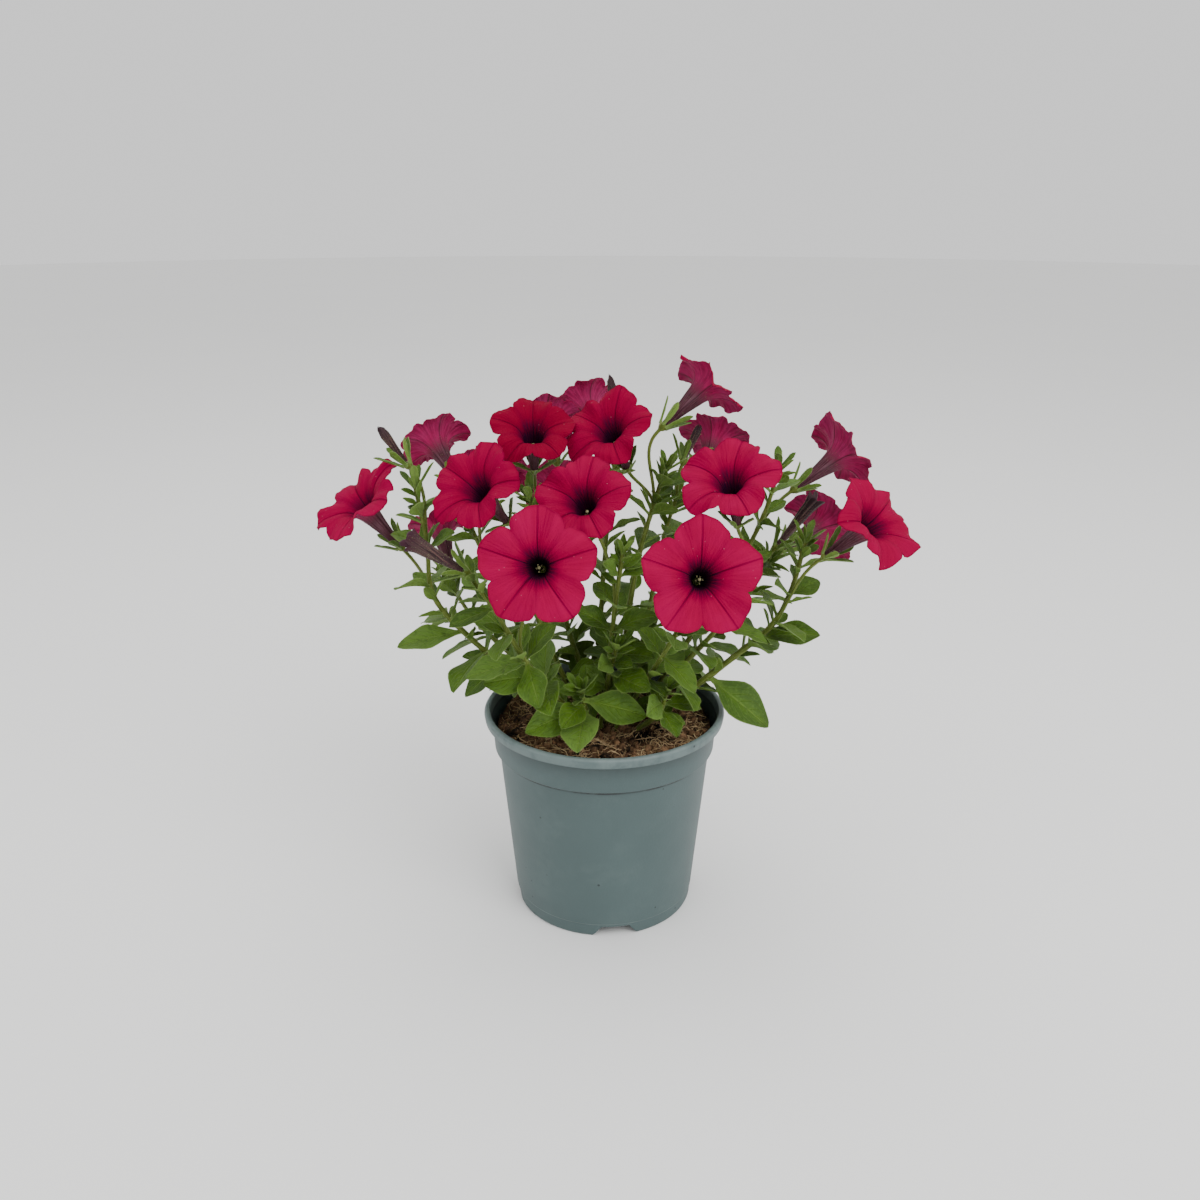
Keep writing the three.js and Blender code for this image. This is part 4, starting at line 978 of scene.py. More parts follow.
def cutter(name, rings):
    """A closed block from rings, used once to cut the pot."""
    block = Piece()
    block.rings(rings, 0)
    for ring, flip in ((rings[0], True), (rings[-1], False)):
        middle = np.mean(ring, 0)
        block.rings([ring, middle + (ring - middle) * 1e-3], 0, flip=flip)
    return block.build(name, [])


def cut(thing, cutters):
    """Cuts the blocks out of a piece and keeps the result as its mesh."""
    for block in cutters:
        change = thing.modifiers.new(block.name, "BOOLEAN")
        change.operation = "DIFFERENCE"
        change.solver = "EXACT"
        change.object = block
    bpy.context.view_layer.update()
    made = bpy.data.meshes.new_from_object(thing.evaluated_get(bpy.context.evaluated_depsgraph_get()))
    thing.modifiers.clear()
    spare = [thing.data, *(block.data for block in cutters)]
    thing.data = made
    for block in cutters:
        bpy.data.objects.remove(block)
    for mesh in spare:
        bpy.data.meshes.remove(mesh)


def notch_block(azimuth):
    half, top = NOTCH["width"] / 2, NOTCH["top"] / 2
    outline = [(-half - 2, -2.4), (half + 2, -2.4), (top, NOTCH["height"]), (-top, NOTCH["height"])]
    out = heading((azimuth, 0))
    across = np.cross(UP, out)
    reaches = (FOOT_RADIUS - 7, FOOT_RADIUS + 5)
    return [[out * reach + across * x + UP * z for x, z in outline] for reach in reaches]


def drain_block(middle, radius):
    height = FOOT_HEIGHT + FLOOR / 2
    return [ring + middle for ring in turned([(radius, height - 3), (radius, height + 3)], DRAIN_SIDES)]


def make_pot(settings):
    profile = pot_profile()
    tints = [np.full(settings.sides, worn_edge(r, z)) for r, z in profile]
    piece = Piece()
    piece.rings(turned(profile, settings.sides), 0, tints)
    pot = piece.build("nursery_pot", finishes("pot"))
    blocks = [cutter(f"notch_{i}", notch_block(NOTCH["azimuth"] + 90 * i)) for i in range(NOTCH["count"])]
    for i in range(DRAIN["count"]):
        middle = heading(((i + 0.5) * 360 / DRAIN["count"], 0)) * DRAIN["ring"]
        blocks.append(cutter(f"drain_{i}", drain_block(middle, DRAIN["radius"])))
    blocks.append(cutter("drain_middle", drain_block(np.zeros(3), DRAIN["middle"])))
    cut(pot, blocks)
    pot.data.set_sharp_from_angle(angle=math.radians(POT_SHARP))
    stands_for(pot, "pot")


# The soil.
def soil_height(x, y):
    lumps = math.sin(0.17 * x + 0.6) * math.cos(0.14 * y - 0.4) + 0.6 * math.sin(0.31 * y + 0.12 * x)
    return SOIL_LEVEL + 1.1 * lumps - 1.5 * ((x * x + y * y) / (COLLAR_RADIUS * COLLAR_RADIUS))


def soil_top(x, y):
    """The soil's surface with its clods, crumbs and grit."""
    height = soil_height(x, y)
    for fine, layer, lift in SOIL_RELIEF:
        height += lift * noise.noise(Vector((x * fine, y * fine, layer)))
    return height


def soil_rings():
    """From the middle of the soil's underside up the pot's wall and in over its rough top."""
    low, high = body_radius(FLOOR_TOP) - SOIL_GAP, body_radius(STEP) - SOIL_GAP
    rings = turned([
        (0.05, FLOOR_TOP + 0.6), (low - 1.8, FLOOR_TOP + 0.6), (low, FLOOR_TOP + 3), (high - 0.2, STEP - 1.6),
        (COLLAR_RADIUS - SOIL_GAP - 0.1, STEP + 2),
    ], SOIL_SIDES)
    radii = np.concatenate([[SOIL_EDGE], np.linspace(SOIL_EDGE - 0.9, 0.05, 46)])
    for radius, ring in zip(radii, turned([(radius, 0) for radius in radii], SOIL_SIDES)):
        sunk = 0.9 * float(ramp(SOIL_EDGE - 3.5, SOIL_EDGE, radius))
        rings.append(ring + np.outer([soil_top(x, y) - sunk for x, y, _ in ring], UP))
    return rings


def soil_spot(reach, chance):
    r, a = reach * math.sqrt(chance.random()), chance.random() * FULL_TURN
    return r * math.cos(a), r * math.sin(a)


def add_crumbs(piece, count, chance):
    """Loose lumps with twenty faces, each dented, stretched and turned its own way."""
    lump = np.array([(0, y, z) for y in (1, -1) for z in (GOLDEN_RATIO, -GOLDEN_RATIO)])
    lump = np.concatenate([lump, lump[:, [1, 2, 0]], lump[:, [2, 0, 1]]]) / 1.9
    faces = hull_faces(lump)
    for _ in range(count):
        x, y = soil_spot(SOIL_EDGE - 1.5, chance)
        size = 0.5 + 2.1 * chance.random() ** 2.4
        shape = lump * chance.uniform(0.65, 1.25, (12, 1)) * (size * chance.uniform(0.5, 1.5, 3))
        points = shape @ random_turn(chance).T + [x, y, soil_top(x, y) + 0.25 * size]
        piece.add(points, faces, np.zeros((20, 3, 2)), 1, chance.random())


def add_fibres(piece, count, chance):
    """Loose fibres that wander over the soil, some of them arched."""
    for _ in range(count):
        x, y = soil_spot(SOIL_EDGE - 2, chance)
        way = chance.random() * FULL_TURN
        steps = chance.integers(6, 13)
        pace, turn = chance.uniform(0.9, 2.3), chance.normal(0, 0.16)
        lift = chance.uniform(0.1, 2.0) * (chance.random() < 0.45)
        line = []
        for k in range(steps):
            if math.hypot(x, y) > SOIL_EDGE - 0.8:
                break
            rise = 0.15 + lift * math.sin(math.pi * k / (steps - 1))
            line.append([x, y, min(soil_top(x, y) + rise, POT_HEIGHT - 2.5)])
            way += turn + chance.normal(0, 0.22)
            x += pace * math.cos(way)
            y += pace * math.sin(way)
        if len(line) >= 4:
            strand(piece, np.array(line), chance.uniform(0.14, 0.36), 2, chance.random())


def make_soil(settings):
    chance = np.random.default_rng(SOIL_SEED)
    piece = Piece()
    piece.rings(soil_rings(), 0)
    add_crumbs(piece, settings.crumbs, chance)
    add_fibres(piece, settings.fibres, chance)
    stands_for(piece.build("potting_soil", finishes("soil", "bark", "fibre")), "soil")


def hull_faces(points):
    """The triangles of a small convex shape whose corners are all on its hull."""
    faces = []
    for i, j, k in combinations(range(len(points)), 3):
        side = (points - points[i]) @ np.cross(points[j] - points[i], points[k] - points[i])
        if (side < 1e-6).all():
            faces.append((i, j, k))
        elif (side > -1e-6).all():
            faces.append((i, k, j))
    return faces


def random_turn(chance):
    w, x, y, z = unit(chance.normal(size=4))
    return np.array([
        [1 - 2 * (y * y + z * z), 2 * (x * y - z * w), 2 * (x * z + y * w)],
        [2 * (x * y + z * w), 1 - 2 * (x * x + z * z), 2 * (y * z - x * w)],
        [2 * (x * z - y * w), 2 * (y * z + x * w), 1 - 2 * (x * x + y * y)],
    ])


def strand(piece, line, radius, look, tint):
    """A thin strand along a line, pointed at both ends."""
    along = unit_rows(np.gradient(line, axis=0))
    side = np.cross(along, UP)
    side /= np.linalg.norm(side, axis=1)[:, None] + 1e-9
    other = np.cross(along, side)
    thick = radius * np.sin(np.linspace(0.18, math.pi - 0.18, len(line))) ** 0.5
    rings = [line + thick[:, None] * (side * math.cos(a) + other * math.sin(a)) for a in circle(STRAND_SIDES)]
    piece.rings(np.stack(rings, 1), look, tint)


# Stems, leaves and what the flowers stand on.
STEM, LEAF, UNDER, HAIR, PISTIL = range(5)
GRIDS = {"large": (17, 9), "small": (13, 7), "slim": (9, 5), "sepal": (9, 5)}
STRAPS = ("slim", "sepal")
Place = namedtuple("Place", "seat axis up side")


def stem_curve(stem):
    return Route([[*stem["root"], SOIL_LEVEL + 3.5], *stem["route"]])


def share_of(stem, number):
    return min(max((number - 1) / len(stem["route"]), 0), 1)


def frame_on(curve, share):
    along = curve.tangent(share)
    side = unit(np.cross(along, BACK))
    return curve.at(share), along, side, np.cross(along, side)


def place_of(flower):
    axis = heading(flower["faces"])
    up = square_to(axis, UP)
    return Place(vec(flower["seat"]), axis, up, np.cross(axis, up))


def spoke(place, angle):
    return place.up * math.cos(angle) + place.side * math.sin(angle)


def spokes(place, angles):
    return np.cos(angles)[..., None] * place.up + np.sin(angles)[..., None] * place.side


def round_ring(centre, side, other, radius, count):
    angles = circle(count)
    return centre + radius * (np.outer(np.cos(angles), side) + np.outer(np.sin(angles), other))


def rings_on(foot, place, profile, count=ROD_SIDES):
    """Rings square to a flower's axis, one for each height over the foot and its radius."""
    return [round_ring(foot + place.axis * h, place.up, place.side, r, count) for h, r in profile]


def bloom_length(flower):
    return 20 + 0.62 * flower["radius"]


def leaves_of(stem, draw):
    plan = stem["leaves"]
    bare = plan.get("bare", 0.05)
    leaves = [
        {"roll": 0, **leaf, "share": share_of(stem, leaf["point"]), "fold": 0.2, "size": "large"}
        for leaf in stem["single"]
    ]
    for i in range(plan["count"]):
        pair = i // 2
        rank = (2 * pair + 1) / plan["count"]
        length = mix(plan["big"], plan["small"], rank) * (0.88 + 0.24 * draw())
        leaves.append({
            "share": mix(bare, 0.95, rank**0.88),
            "turn": plan["turn"] + pair * NODE_TURN + (i % 2) * PAIR + 16 * (draw() - 0.5),
            "lean": mix(66, 54, rank) + 14 * (draw() - 0.5),
            "length": length,
            "width": length * mix(0.62, 0.46, rank),
            "droop": mix(0.32, 0.14, rank) + 0.1 * (draw() - 0.5),
            "fold": 0.14 + 0.14 * draw(),
            "roll": 36 * (draw() - 0.5),
            "size": "large" if rank < 0.45 else "small",
        })
    return leaves


def tip_leaves_of(stem, draw):
    return [{
        "share": 1 - NODE_HEIGHT / stem["curve"].length() / 2,
        "turn": stem["leaves"]["turn"] + SINUS_TURN + k * 360 / SIDES,
        "lean": 34 + 14 * draw(),
        "length": 11 + 5 * draw(),
        "width": 3.4 + 0.8 * draw(),
        "droop": -0.04,
        "fold": 0.2,
        "roll": 0,
        "size": "slim",
    } for k in range(stem["tip"])]


def sepals_of(draw):
    return [{
        "spoke": SINUS_TURN + LOBE_TURN * k,
        "lean": 25 + 20 * draw(),
        "length": 13 + 3 * draw(),
        "width": 3 + 0.4 * draw(),
        "droop": 0.05 * draw(),
        "fold": 0.15,
        "size": "sepal",
    } for k in range(LOBES)]


def leaf_blade(stem, leaf, attempt):
    turn, slope, size = attempt
    centre, along, side, other = frame_on(stem["curve"], leaf["share"])
    if "heading" in leaf:
        direction = heading([leaf["heading"][0] + turn, leaf["heading"][1] + slope])
    else:
        angle, lean = math.radians(leaf["turn"] + turn), math.radians(leaf["lean"] - slope)
        out = side * math.cos(angle) + other * math.sin(angle)
        direction = along * math.cos(lean) + out * math.sin(lean)
    skyward = along
    if leaf["size"] != "slim":
        skyward = unit(vec([centre[0], centre[1], 0])) + UP * 1.1 + along * 0.3
    skyward = square_to(direction, skyward)
    roll = math.radians(leaf["roll"])
    return {
        **leaf,
        "base": centre,
        "along": direction,
        "face": skyward * math.cos(roll) + np.cross(direction, skyward) * math.sin(roll),
        "length": leaf["length"] * size,
        "width": leaf["width"] * size,
    }


def sepal_blade(place, sepal, attempt):
    _, slope, size = attempt
    out = spoke(place, math.radians(sepal["spoke"]))
    lean = math.radians(sepal["lean"] + slope)
    direction = place.axis * math.cos(lean) + out * math.sin(lean)
    return {
        **sepal,
        "base": place.seat - 1.5 * place.axis + out * CUP_RADIUS * 0.75,
        "along": direction,
        "face": square_to(direction, place.axis),
        "length": sepal["length"] * size,
    }


def as_grown(points, blade_of, carrier, leaf):
    """The blade as it stands in the solid, or nothing if the solid has none there."""
    for attempt in TRIES:
        blade = blade_of(carrier, leaf, attempt)
        tip = blade["base"] + blade["along"] * blade["length"] + DOWN * blade["droop"] * blade["length"]
        if np.min(np.linalg.norm(points - tip, axis=1)) < SAME_TIP:
            return blade
    return None


def blade_width(share, size):
    """Half width along a blade, as a share of its widest."""
    share = np.asarray(share, float)
    if size in STRAPS:
        strap = 0.45 + 0.55 * ramp(0, 0.55, share)
        return strap * (1 - ramp(0.74, 1.01, share) ** 2) ** 0.6 + 0.02
    curve = np.maximum(np.sin(np.pi * share**1.12), 0)
    blunt = mix(1.35, 0.6, ramp(0.3, 0.6, share))
    return np.maximum(curve**blunt, np.where(share < 0.5, 0.15, 0.0)) + 0.012


def add_blade(piece, leaf, chance, hair, thin=LEAF_THICK):
    """A fine blade: folded along its midrib, lightly waved, with a stalk-like base and a hairy edge."""
    rows, columns = GRIDS[leaf["size"]]
    s, x = np.linspace(0.0, 1.0, rows), np.linspace(-1, 1, columns)
    s = mix(s, 0.5 - 0.5 * np.cos(np.pi * s), 0.6)
    length, fall = leaf["length"], leaf["droop"] * leaf["length"]
    middle = leaf["base"] + np.outer(s * length, leaf["along"]) + np.outer(fall * s * s, DOWN)
    along = unit_rows(leaf["along"] * length + np.outer(2 * fall * s, DOWN))
    side = unit(np.cross(leaf["along"], leaf["face"]))
    face = np.cross(side, along)
    taper = 0.0 if leaf["size"] in STRAPS else 0.3
    half = leaf["width"] / 2 * blade_width(s, leaf["size"]) * (1 - taper * ramp(0.62, 1.05, s))
    wave, phase = chance.uniform(0.02, 0.07), chance.uniform(0, 6.28)
    beats = chance.uniform(1.3, 2.6)
    bend = chance.uniform(-0.05, 0.05) * length
    ripple = wave * leaf["width"] * np.sin(2 * np.pi * beats * s + phase) * np.sin(np.pi * s)
    off, reach = np.abs(x), x * half[:, None]
    lift = leaf["fold"] * half[:, None] * off**1.25 + ripple[:, None] * (off * off * np.sign(x))[None]
    lift = lift - 0.28 * np.exp(-((reach / 0.6) ** 2)) * ramp(0.0, 0.15, s)[:, None]
    shift = bend * np.sin(np.pi * s) * 0.5
    centre = middle + side * shift[:, None]
    sheet = centre[:, None] + side * reach[..., None] + face[:, None] * lift[..., None]
    root = np.exp(-((s / 0.1) ** 2))
    thick = thin * (1 - 0.45 * off**2)[None] + 1.0 * root[:, None] * (1 - 0.6 * off)[None]
    ridge = 0.5 * np.exp(-((reach / 0.55) ** 2)) * (1 - s)[:, None]
    top = sheet + face[:, None] * (thick / 2)[..., None]
    low = sheet - face[:, None] * (thick / 2 + ridge)[..., None]
    add_sheet(piece, top, low, s, chance.random())
    count = int(hair * BLADE_SHARE * length * 2)
    if not count:
        return
    spot = chance.uniform(0.06, 0.995, count)
    where = np.searchsorted(s, spot).clip(1, rows - 1)
    part = (spot - s[where - 1]) / (s[where] - s[where - 1])
    edge = np.where(chance.random(count) < 0.5, 0, columns - 1)
    roots = mix(sheet[where - 1, edge], sheet[where, edge], part[:, None])
    out = side * np.where(edge == 0, -1, 1)[:, None]
    ways = out * 0.8 + along[where] * 0.6 + chance.normal(0, 0.28, (count, 3))
    piece.hairs(roots, unit_rows(ways), BLADE_EDGE_DOWN, HAIR, chance)
    inner = int(count * 0.5)
    i, j = chance.integers(1, rows - 1, inner), chance.integers(0, columns, inner)
    up = np.where(chance.random(inner) < 0.5, 1, -1)[:, None]
    roots = np.where(up > 0, top[i, j], low[i, j])
    ways = face[i] * up + chance.normal(0, 0.5, (inner, 3))
    piece.hairs(roots, unit_rows(ways), BLADE_DOWN, HAIR, chance)


def add_sheet(piece, top, low, shares, tint):
    """A blade's skin: its face, its underside and the seam round its edge and tip."""
    rows, columns = top.shape[:2]
    edge, n = columns - 1, 2 * columns
    last = (rows - 1) * n
    across = [min(j, n - 1 - j) / edge for j in range(n)]
    faces, uvs, looks = [], [], []
    for j in range(n):
        k = (j + 1) % n
        for i in range(rows - 1):
            faces.append((i * n + j, i * n + k, (i + 1) * n + k, (i + 1) * n + j))
            uvs.append([(across[c], shares[r]) for c, r in ((j, i), (k, i), (k, i + 1), (j, i + 1))])
            looks.append(LEAF if j < edge else UNDER)
    for j in range(edge):
        faces.append((last + j, last + j + 1, last + n - 2 - j, last + n - 1 - j))
        uvs.append([(0.5, 1)] * 4)
        looks.append(UNDER)
    piece.add(np.concatenate([top, low[:, ::-1]], 1), faces, uvs, looks, tint)


def add_rod(piece, stations, chance, hair, count=ROD_SIDES):
    """A round rod with down standing off it. A station is its centre, two sides and a radius."""
    rings = [round_ring(*station, count) for station in stations]
    centres, sides, others, radii = (np.array(values) for values in zip(*stations))
    lengths = np.concatenate([[0], np.cumsum(np.linalg.norm(np.diff(centres, axis=0), axis=1))])
    piece.rings(rings, STEM, chance.random(), lengths / 18)
    number = int(hair * lengths[-1] * FULL_TURN * float(np.mean(radii)))
    if not number:
        return
    spot = chance.uniform(0, lengths[-1], number)
    where = np.searchsorted(lengths, spot).clip(1, len(lengths) - 1)
    part = (spot - lengths[where - 1]) / (lengths[where] - lengths[where - 1])
    a = chance.uniform(0, FULL_TURN, number)[:, None]
    out = sides[where] * np.cos(a) + others[where] * np.sin(a)
    centre = mix(centres[where - 1], centres[where], part[:, None])
    radius = mix(radii[where - 1], radii[where], part)[:, None]
    ways = out + chance.normal(0, 0.25, (number, 3))
    piece.hairs(centre + out * radius * 0.93, unit_rows(ways), STEM_DOWN, HAIR, chance)


def stalk_curve(stem, flower, place):
    share = share_of(stem, flower["fork"])
    along = stem["curve"].tangent(share)
    start = stem["curve"].at(share) - along * (1.7 + 0.9 * flower["order"])
    end = place.seat - 4.6 * place.axis
    reach = np.linalg.norm(end - start)
    return Bend(start, start + along * reach * 0.4, end - place.axis * reach * 0.4, end)


def add_stalk(piece, stem, flower, place, chance, hair):
    """The flower's stalk and its cup."""
    curve, up, stations = stalk_curve(stem, flower, place), place.up, []
    for i in range(STALK_STEPS, -1, -1):
        share = i / STALK_STEPS
        along = curve.tangent(share)
        up = square_to(along, up)
        radius = STALK_RADIUS * (1.0 + 0.12 * ramp(0.8, 1, share))
        stations.insert(0, (curve.at(share), up, np.cross(along, up), radius))
    for height, radius in CUP:
        stations.append((place.seat + place.axis * height, place.up, place.side, radius))
    add_rod(piece, stations, chance, hair)
    piece.rings(rings_on(place.seat, place, CUP_CAP), STEM)


def add_pistil(piece, flower, place, chance):
    """In a bloom's throat, the style with its stigma and the anthers round it."""
    seat, axis = place.seat, place.axis
    top = bloom_length(flower) * TUBE_SHARE - 1.5
    style = [(-0.45, 0.4), (top * 0.5, 0.38), (top - 0.7, 0.4), (top - 0.4, 0.6), (top, 0.85),
             (top + 0.5, 0.8), (top + 0.8, 0.5), (top + 0.85, 0.05)]
    piece.rings(rings_on(seat, place, style), PISTIL, 0.8)
    for k in range(LOBES):
        out = spoke(place, math.radians(SINUS_TURN + LOBE_TURN * k) + chance.normal(0, 0.2))
        deep = 1.2 + 3.6 * k / LOBES + 1.5 * chance.random()
        foot = seat + axis * (top * 0.45) + out * 1.6
        head = seat + axis * (top - deep) + out * (1.4 + 0.5 * chance.random())
        strand(piece, np.array([mix(foot, head, t) for t in np.linspace(0, 1, 5)]), 0.22, PISTIL, 0.3)
        piece.rings(rings_on(head, place, ANTHER, ANTHER_SIDES), PISTIL, 0.9)


def extra_leaves(stem, chance, amount):
    """Small leaves that the solids leave out: in the joints of the leaves, at the forks and round the tip."""
    leaves = []

    def leaf(share, turn, lean, length, width):
        leaves.append({"share": share, "turn": turn, "lean": lean, "length": length, "width": length * width,
                       "droop": chance.uniform(0.0, 0.16), "fold": chance.uniform(0.14, 0.3),
                       "roll": chance.uniform(-18, 18), "size": "small"})

    turn = chance.uniform(0, 360)
    number = int(round(amount * len(stem["route"]) * 2.6))
    for i in range(number):
        share = mix(0.1, 0.95, (i + chance.random()) / number)
        leaf(share, turn + i * GOLDEN_TURN, chance.uniform(38, 62),
             mix(19, 12, share) * chance.uniform(0.8, 1.15), chance.uniform(0.4, 0.52))
    for flower in stem["flowers"]:
        share = max(share_of(stem, flower["fork"]) - 0.02, 0.05)
        for k in range(2):
            leaf(share, turn + 180 * k + chance.uniform(-30, 30), chance.uniform(35, 55),
                 chance.uniform(13, 18), 0.34)
    for k in range(9 if stem["tip"] else 0):
        leaf(1 - 0.012 * k, turn + GOLDEN_TURN * k, 12 + 5.5 * k + chance.uniform(-4, 4),
             chance.uniform(9, 14.5), chance.uniform(0.3, 0.38))
    return leaves


def coarse_blade(leaf, start):
    """A plain closed outline of a blade, for finding what it would cross."""
    points, faces = [], []
    side = unit(np.cross(leaf["along"], leaf["face"]))
    thick = leaf["face"] * (0.3 + MARGIN)
    shares = (start, 0.4, 0.62, 0.82, 1.0)
    for share in shares:
        fall = leaf["droop"] * leaf["length"]
        middle = leaf["base"] + leaf["along"] * (leaf["length"] + MARGIN) * share + DOWN * fall * share**2
        half = leaf["width"] / 2 * float(blade_width(share, leaf["size"])) + MARGIN
        rise = leaf["face"] * leaf["fold"] * half
        points += [middle - thick, middle - side * half + rise, middle + thick, middle + side * half + rise]
    for i in range(0, 4 * len(shares) - 4, 4):
        for j, k in ((0, 1), (1, 2), (2, 3), (3, 0)):
            faces.append((i + j, i + k, i + 4 + k, i + 4 + j))
    return BVHTree.FromPolygons([Vector(point) for point in points], faces)


def solids_tree():
    """All of the solids in one tree, in millimetres."""
    points, faces = [], []
    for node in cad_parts.values():
        start = len(points)
        points.extend(v.co * MM for v in node.data.vertices)
        faces.extend(tuple(start + i for i in face.vertices) for face in node.data.polygons)
    return BVHTree.FromPolygons(points, faces)


def add_flower_parts(piece, stem, points, draw, chance, hair):
    """The sepals, stalk and cup of each of the stem's flowers, and the pistils of its blooms."""
    for flower in stem["flowers"]:
        place = place_of(flower)
        for sepal in sepals_of(draw):
            blade = as_grown(points, sepal_blade, place, sepal)
            if blade:
                add_blade(piece, blade, chance, hair, SEPAL_THICK)
        add_stalk(piece, stem, flower, place, chance, hair * STALK_SHARE)
        if "radius" in flower:
            add_pistil(piece, flower, place, chance)


def add_leaves(piece, stem, points, draw, chance, hair):
    """The leaves that the solid has. Returns their blades."""
    planned = [*leaves_of(stem, draw), *tip_leaves_of(stem, draw)]
    blades = [blade for leaf in planned if (blade := as_grown(points, leaf_blade, stem, leaf))]
    for blade in blades:
        add_blade(piece, blade, chance, hair)
    return blades


def add_extra_leaves(piece, stem, taken, amount, chance, hair):
    """Added leaves, each where it first stands clear of what is taken. Returns their blades."""
    blades = []
    for leaf in extra_leaves(stem, chance, amount):
        for attempt in TRIES[:FEW_TRIES]:
            blade = leaf_blade(stem, leaf, attempt)
            tree = coarse_blade(blade, 4.2 / blade["length"])
            if not any(tree.overlap(other) for other in taken):
                taken.append(tree)
                blades.append(blade)
                add_blade(piece, blade, chance, hair)
                break
    return blades


def add_main_stem(piece, stem, blades, chance, hair):
    """The stem itself, rooted in the soil and swollen where its leaves stand."""
    curve, girth, root = stem["curve"], stem["girth"], stem["root"]
    length = curve.length()
    joints = np.array([blade["share"] for blade in blades] or [0.5])
    _, _, side, other = frame_on(curve, 0)
    heights = (SOIL_LEVEL - ROOT_DEPTH, SOIL_LEVEL - 3, SOIL_LEVEL + 1.5)
    stations = [(vec([*root, height]), side, other, girth[0] * 0.97) for height in heights]
    for share in np.linspace(0, 1, int(length / 2.4) + 1):
        centre, _, side, other = frame_on(curve, share)
        swell = 0.3 * float(np.max(np.exp(-(((joints - share) * length) / 1.8) ** 2)))
        stations.append((centre, side, other, mix(*girth, share) * 0.8 + swell * mix(1, 0.6, share)))
    stations.append((curve.at(1) + curve.tangent(1) * 0.9, side, other, 0.3))
    add_rod(piece, stations, chance, hair, STEM_SIDES)


def make_foliage(settings):
    """One piece for each leafy stem: the stem with its leaves, stalks, cups, sepals and down."""
    taken, hair = [solids_tree()], settings.hairs
    for number, stem in enumerate(STEMS):
        chance, piece = np.random.default_rng(STEM_SEED + number), Piece()
        points = solid_points(f"stem_{stem['name']}")
        stem["curve"] = stem_curve(stem)
        add_flower_parts(piece, stem, points, draws_from(SEPAL_SEED + number), chance, hair)
        blades = add_leaves(piece, stem, points, draws_from(BLADE_SEED + number), chance, hair)
        blades += add_extra_leaves(piece, stem, taken, settings.extra_leaves, chance, hair)
        add_main_stem(piece, stem, blades, chance, hair)
        materials = finishes("stem", "leaf", "under", "hair", "pistil")
        thing = piece.build(f"foliage_{stem['name']}", materials, LEAF_SHARP)
        stands_for(thing, f"stem_{stem['name']}")


# Blooms. The warmth of the faces that show most.
WARMTH = {"front_left": 0.05, "front_right": 0.1, "middle_right": 0.3, "far_left": 0.35, "far_right": 0.4,
          "middle": 0.45, "middle_left": 0.5, "top_middle": 0.62, "top_left": 0.95}


def lobe_edge(angle):
    from_sinus = 2 * np.abs((angle * LOBES / FULL_TURN) % 1 - 0.5)
    return 1 - SINUS * (1 - from_sinus) ** 2.2


def character_of(seed):
    draw = draws_from(seed)
    lobes = [0.3 * draw() - 0.08 for _ in range(LOBES)]
    ruffle = 0.035 + 0.04 * draw()
    waves = 7 if draw() < 0.5 else 9
    return {"lobes": np.array(lobes), "ruffle": ruffle, "waves": waves, "phase": FULL_TURN * draw()}


def corolla(flower, who, place, angles, shares, depth, details):
    """The bloom's sheet over angles and shares: the solid's form with creases, ruffles and notches."""
    a, s = angles[None, :], shares[:, None]
    radius, length = flower["radius"], bloom_length(flower)
    mouth = length * TUBE_SHARE
    rise = np.minimum(s / 0.5, 1)
    u = np.maximum((s - 0.5) / 0.5, 0)
    v = 1 - u

    def cubic(p, q, r, t):
        return p * v**3 + 3 * q * v * v * u + 3 * r * v * u * u + t * u**3

    tube = s <= 0.5
    limb = cubic(TUBE_MOUTH, TUBE_MOUTH + 0.07 * radius, 0.5 * radius, radius)
    r = np.where(tube, mix(TUBE_BASE, TUBE_MOUTH, rise**1.5), limb)
    h = np.where(tube, mouth * rise, cubic(mouth, length * 0.9, length * 0.97, length))
    turn = (a * LOBES / FULL_TURN) % LOBES
    near = np.round(turn).astype(int) % LOBES
    off = turn - np.round(turn)
    fold = -who["lobes"][near] * np.cos(np.pi * off) ** 2 * u**2.2
    wave = who["ruffle"] * np.sin(who["waves"] * a + who["phase"]) * u**3
    edge = mix(1, lobe_edge(a), u * u)
    # Finer than the solid: creases on the ribs, a point on each lobe, small ruffles and a rolled edge.
    phase, beat, small = details
    crease = -1.2 * np.exp(-((off * r * 1.26) / 1.3) ** 2) * u * (1 - 0.6 * u)
    swell = 1.1 * np.sin(np.pi * np.minimum(np.abs(off) * 2, 1)) * u * (1 - u) * 2
    buckle = 0.032 * radius * np.sin(4 * a + 5 * u + 2 * phase) * u * u
    flutter = small * radius * np.sin(beat * a + phase) * u**4
    crimp = 0.22 * np.sin((2 * beat + 9) * a + 3 * phase) * u**8
    point = 0.05 * np.exp(-((off / 0.15) ** 2)) * u**4
    slit = -0.06 * np.exp(-(((np.abs(off) - 0.5) / 0.035) ** 2)) * u**8
    slit = slit + 0.008 * np.sin((beat + 6) * a + 5 * phase) * u**6
    roll = -0.9 * ramp(0.86, 1, u)
    tilt = (np.pi / 2) * np.minimum(1, u * 1.6)
    flute = 0.1 * np.cos(LOBES * a) * (1 - u) * rise
    radial = r * (edge + point + slit) + flute + depth * np.cos(tilt)
    lift = (fold + wave) * radius
    height = h + lift + crease + swell + buckle + flutter + crimp + roll - depth * np.sin(tilt)
    return place.seat + height[..., None] * place.axis + radial[..., None] * spokes(place, a)


